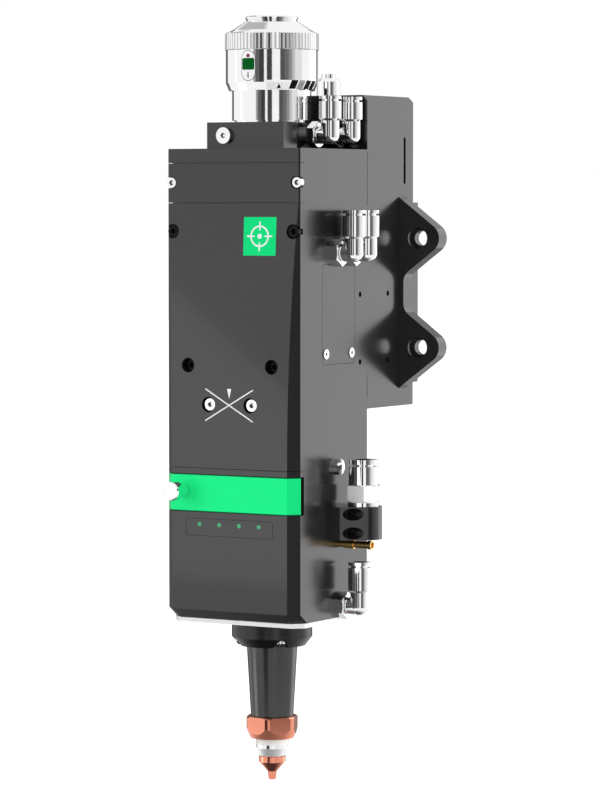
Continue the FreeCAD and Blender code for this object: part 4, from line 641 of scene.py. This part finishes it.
def rounded_frame(left, right, low, high, corner):
    """The closed path of a rectangle with round corners."""
    path = []
    centres = ((right - corner, high - corner, 0), (left + corner, high - corner, 90),
               (left + corner, low + corner, 180), (right - corner, low + corner, 270))
    for x, z, start in centres:
        for turn in steps(start, start + 90, ARC_STEPS):
            angle = math.radians(turn)
            path.append((x + corner * math.cos(angle), z + corner * math.sin(angle)))
    return path + path[:1]


def status_panel():
    """The thin printed frame round the four status lights."""
    front = surface_of("main_housing")
    path = rounded_frame(-PANEL_HALF_WIDTH, PANEL_HALF_WIDTH, PANEL_LOW, PANEL_HIGH, PANEL_CORNER)
    front_strip("status_panel_outline", front, path, PANEL_LINE, "faint_print")


SEAM_WIDTH = 0.32 * MM
SEAM_RUNS = ((84.5 * MM, 52.8 * MM), (-48.0 * MM, -62.0 * MM))


def housing_seam():
    """The joint line between the two housings on the right side, above and below the ear's foot."""
    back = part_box("main_housing")[1].y

    def side(y, z, lift):
        return Vector((half_width + lift, y, z))

    for index, (high, low) in enumerate(SEAM_RUNS):
        path = [(back, high), (back, low)]
        front_strip(f"housing_seam_{index}", side, path, SEAM_WIDTH, "faint_print")


TARGET_RING = (5.3 * MM, 6.3 * MM)
TARGET_DOT = (0.05 * MM, 1.5 * MM)
TICK_ENDS = (3.4 * MM, 8.6 * MM)
TICK_WIDTH = 0.9 * MM
TICK_LIFT = 0.09 * MM


def emblem_sign():
    """A plain target of two rings and four ticks, in place of the maker's sign."""
    low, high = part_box("emblem_plate")
    x, z = (low.x + high.x) / 2, (low.z + high.z) / 2
    front = surface_of("emblem_plate")
    faces = ring_faces(front, x, z, *TARGET_RING) + ring_faces(front, x, z, *TARGET_DOT)
    new_piece("emblem_rings", faces, "white_print")
    for index in range(4):
        turn = math.radians(90 * index)
        path = [(x + reach * math.cos(turn), z + reach * math.sin(turn)) for reach in TICK_ENDS]
        front_strip(f"emblem_tick_{index}", front, path, TICK_WIDTH, "white_print", TICK_LIFT)


# The white studio: floor, world, soft lamps and the dark strips that metal mirrors

WORLD_FILL = 0.5


def make_world():
    """A white world that is darker only for the light it sheds on matt surfaces."""
    world = bpy.data.worlds.new("studio")
    bpy.context.scene.world = world
    t = Tree("studio", world)
    seen = t.on_rays(t.add("ShaderNodeLightPath"), "Camera", "Transmission", "Glossy")
    strength = t.between(seen, WORLD_FILL, 1.0, 0.0, 1.0)
    background = t.add("ShaderNodeBackground", {"Color": (1, 1, 1, 1), "Strength": strength})
    t.add("ShaderNodeOutputWorld", {"Surface": background.outputs[0]})


def stage_object(name, corners, look):
    data = bpy.data.meshes.new(name)
    data.from_pydata(corners, [], [tuple(range(4))])
    item = bpy.data.objects.new(name, data)
    bpy.context.scene.collection.objects.link(item)
    data.materials.append(look)
    return item


floor_level = cad_low.z - 0.26
FLOOR_REACH = 14.0
FLOOR_GLOW = 0.8
SHADE_CENTRE = (-0.04, -0.11, 0.0)
SHADE_INNER = 0.12
SHADE_OUTER = 0.48
SHADE_BRIGHTNESS = 0.08


def make_floor():
    """Pale floor below the hanging head.

    It shows white and keeps a soft shadow. Metal mirrors it as a white field that grows dark
    under the head.
    """
    t = Tree("floor")
    place = t.place()
    path = t.add("ShaderNodeLightPath")
    speckle = t.between(t.noise(place, 40, 2), 0, 1)
    matt = t.add("ShaderNodeBsdfDiffuse", {
        "Color": t.blend(speckle, (0.84, 0.84, 0.84), (0.87, 0.87, 0.87)),
    })
    glow = t.glow(t.maths("MULTIPLY", t.on_rays(path, "Camera", "Transmission"), FLOOR_GLOW))
    both = t.add("ShaderNodeAddShader", {0: matt.outputs[0], 1: glow})
    radius = t.distance(place, SHADE_CENTRE)
    field = t.glow(t.between(radius, SHADE_BRIGHTNESS, 1.0, SHADE_INNER, SHADE_OUTER))
    mixed = t.add("ShaderNodeMixShader", {0: t.on_rays(path, "Glossy"), 1: both.outputs[0], 2: field})
    square = ((-1, -1), (1, -1), (1, 1), (-1, 1))
    corners = [(x * FLOOR_REACH, y * FLOOR_REACH, floor_level) for x, y in square]
    stage_object("floor", corners, t.finish(mixed.outputs[0]))


def strip_look(name, brightness):
    t = Tree(name)
    return t.finish(t.glow(brightness))


STRIP_DISTANCE = 1.0
# Each strip: azimuths of its two edges, brightness, height of its bottom and of its top
STRIPS = (
    (-152.0, -112.0, 0.15, -0.48, 0.45), (-136.0, -100.0, 0.5, 0.65, 2.6),
    (-140.0, -136.0, 0.75, 0.65, 2.6), (-72.0, -52.0, 3.2, -0.49, -0.42),
    (-16.0, -10.0, 0.35, -0.41, 0.75), (-10.0, 0.0, 0.12, -0.49, 0.75),
    (0.0, 11.5, 0.05, -0.49, 0.75), (18.0, 31.0, 0.06, -0.41, 0.75),
    (51.0, 62.0, 0.09, -0.41, 0.75), (62.0, 73.0, 0.15, -0.41, 0.75),
    (73.0, 82.0, 0.28, -0.41, 0.75), (82.0, 90.0, 0.55, -0.41, 0.75),
    (90.0, 110.0, 0.8, -0.41, 0.75), (138.0, 171.0, 1.8, -0.48, 0.75),
    (173.0, 208.0, 0.35, -0.48, 0.45),
)


# A bright card close to the front gives the lower front its lighter field with a slanting edge
FRONT_CARD = ((-0.35, 0.217), (0.13, -0.162), (0.13, -0.175), (-0.35, -0.175))
FRONT_CARD_GAP = 0.07
FRONT_CARD_BRIGHTNESS = 1.34


def reflection_only(item):
    for way in ("camera", "diffuse", "shadow", "transmission"):
        setattr(item, f"visible_{way}", False)


def mirror_strips():
    """Strips round the object and a card before it, seen only in glossy reflections."""
    centre = Vector((0, beam.y, 0))
    for index, (start, end, brightness, bottom, top) in enumerate(STRIPS):
        first, last = (centre + bearing(azimuth) * STRIP_DISTANCE for azimuth in (start, end))
        low, high = Vector((0, 0, bottom)), Vector((0, 0, top))
        corners = [first + low, last + low, last + high, first + high]
        look = strip_look(f"strip_{index}", brightness)
        reflection_only(stage_object(f"mirror_strip_{index}", corners, look))
    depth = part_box("main_housing")[0].y - FRONT_CARD_GAP
    card = [(x, depth, z) for x, z in FRONT_CARD]
    reflection_only(stage_object("front_card", card, strip_look("front_card", FRONT_CARD_BRIGHTNESS)))


LAMP_DISTANCE = 2.4
# Each lamp: azimuth, elevation, width, height and power
LAMPS = {
    "lamp_right": (105, 10, 1.5, 2.0, 32.0),
    "lamp_left": (-40, 18, 1.4, 1.8, 17.0),
    "lamp_top": (20, 68, 1.8, 1.8, 22.0),
}


def make_lamps():
    """Soft boxes that shine on the object and are seen in no reflection."""
    for name, (azimuth, elevation, width, height, power) in LAMPS.items():
        lamp = bpy.data.lights.new(name, "AREA")
        lamp.shape = "RECTANGLE"
        lamp.size = width
        lamp.size_y = height
        lamp.energy = power
        item = bpy.data.objects.new(name, lamp)
        bpy.context.scene.collection.objects.link(item)
        rise = math.radians(elevation)
        away = bearing(azimuth) * math.cos(rise) + Vector((0, 0, math.sin(rise)))
        item.visible_glossy = False
        item.location = beam + away * LAMP_DISTANCE
        item.rotation_euler = away.to_track_quat("Z", "Y").to_euler()


make_camera()
dress_nodes()
collar_label()
scale_band()
centring_marks()
status_panel()
housing_seam()
emblem_sign()
make_world()
make_floor()
mirror_strips()
make_lamps()

bpy.context.scene.view_settings.view_transform = "Standard"
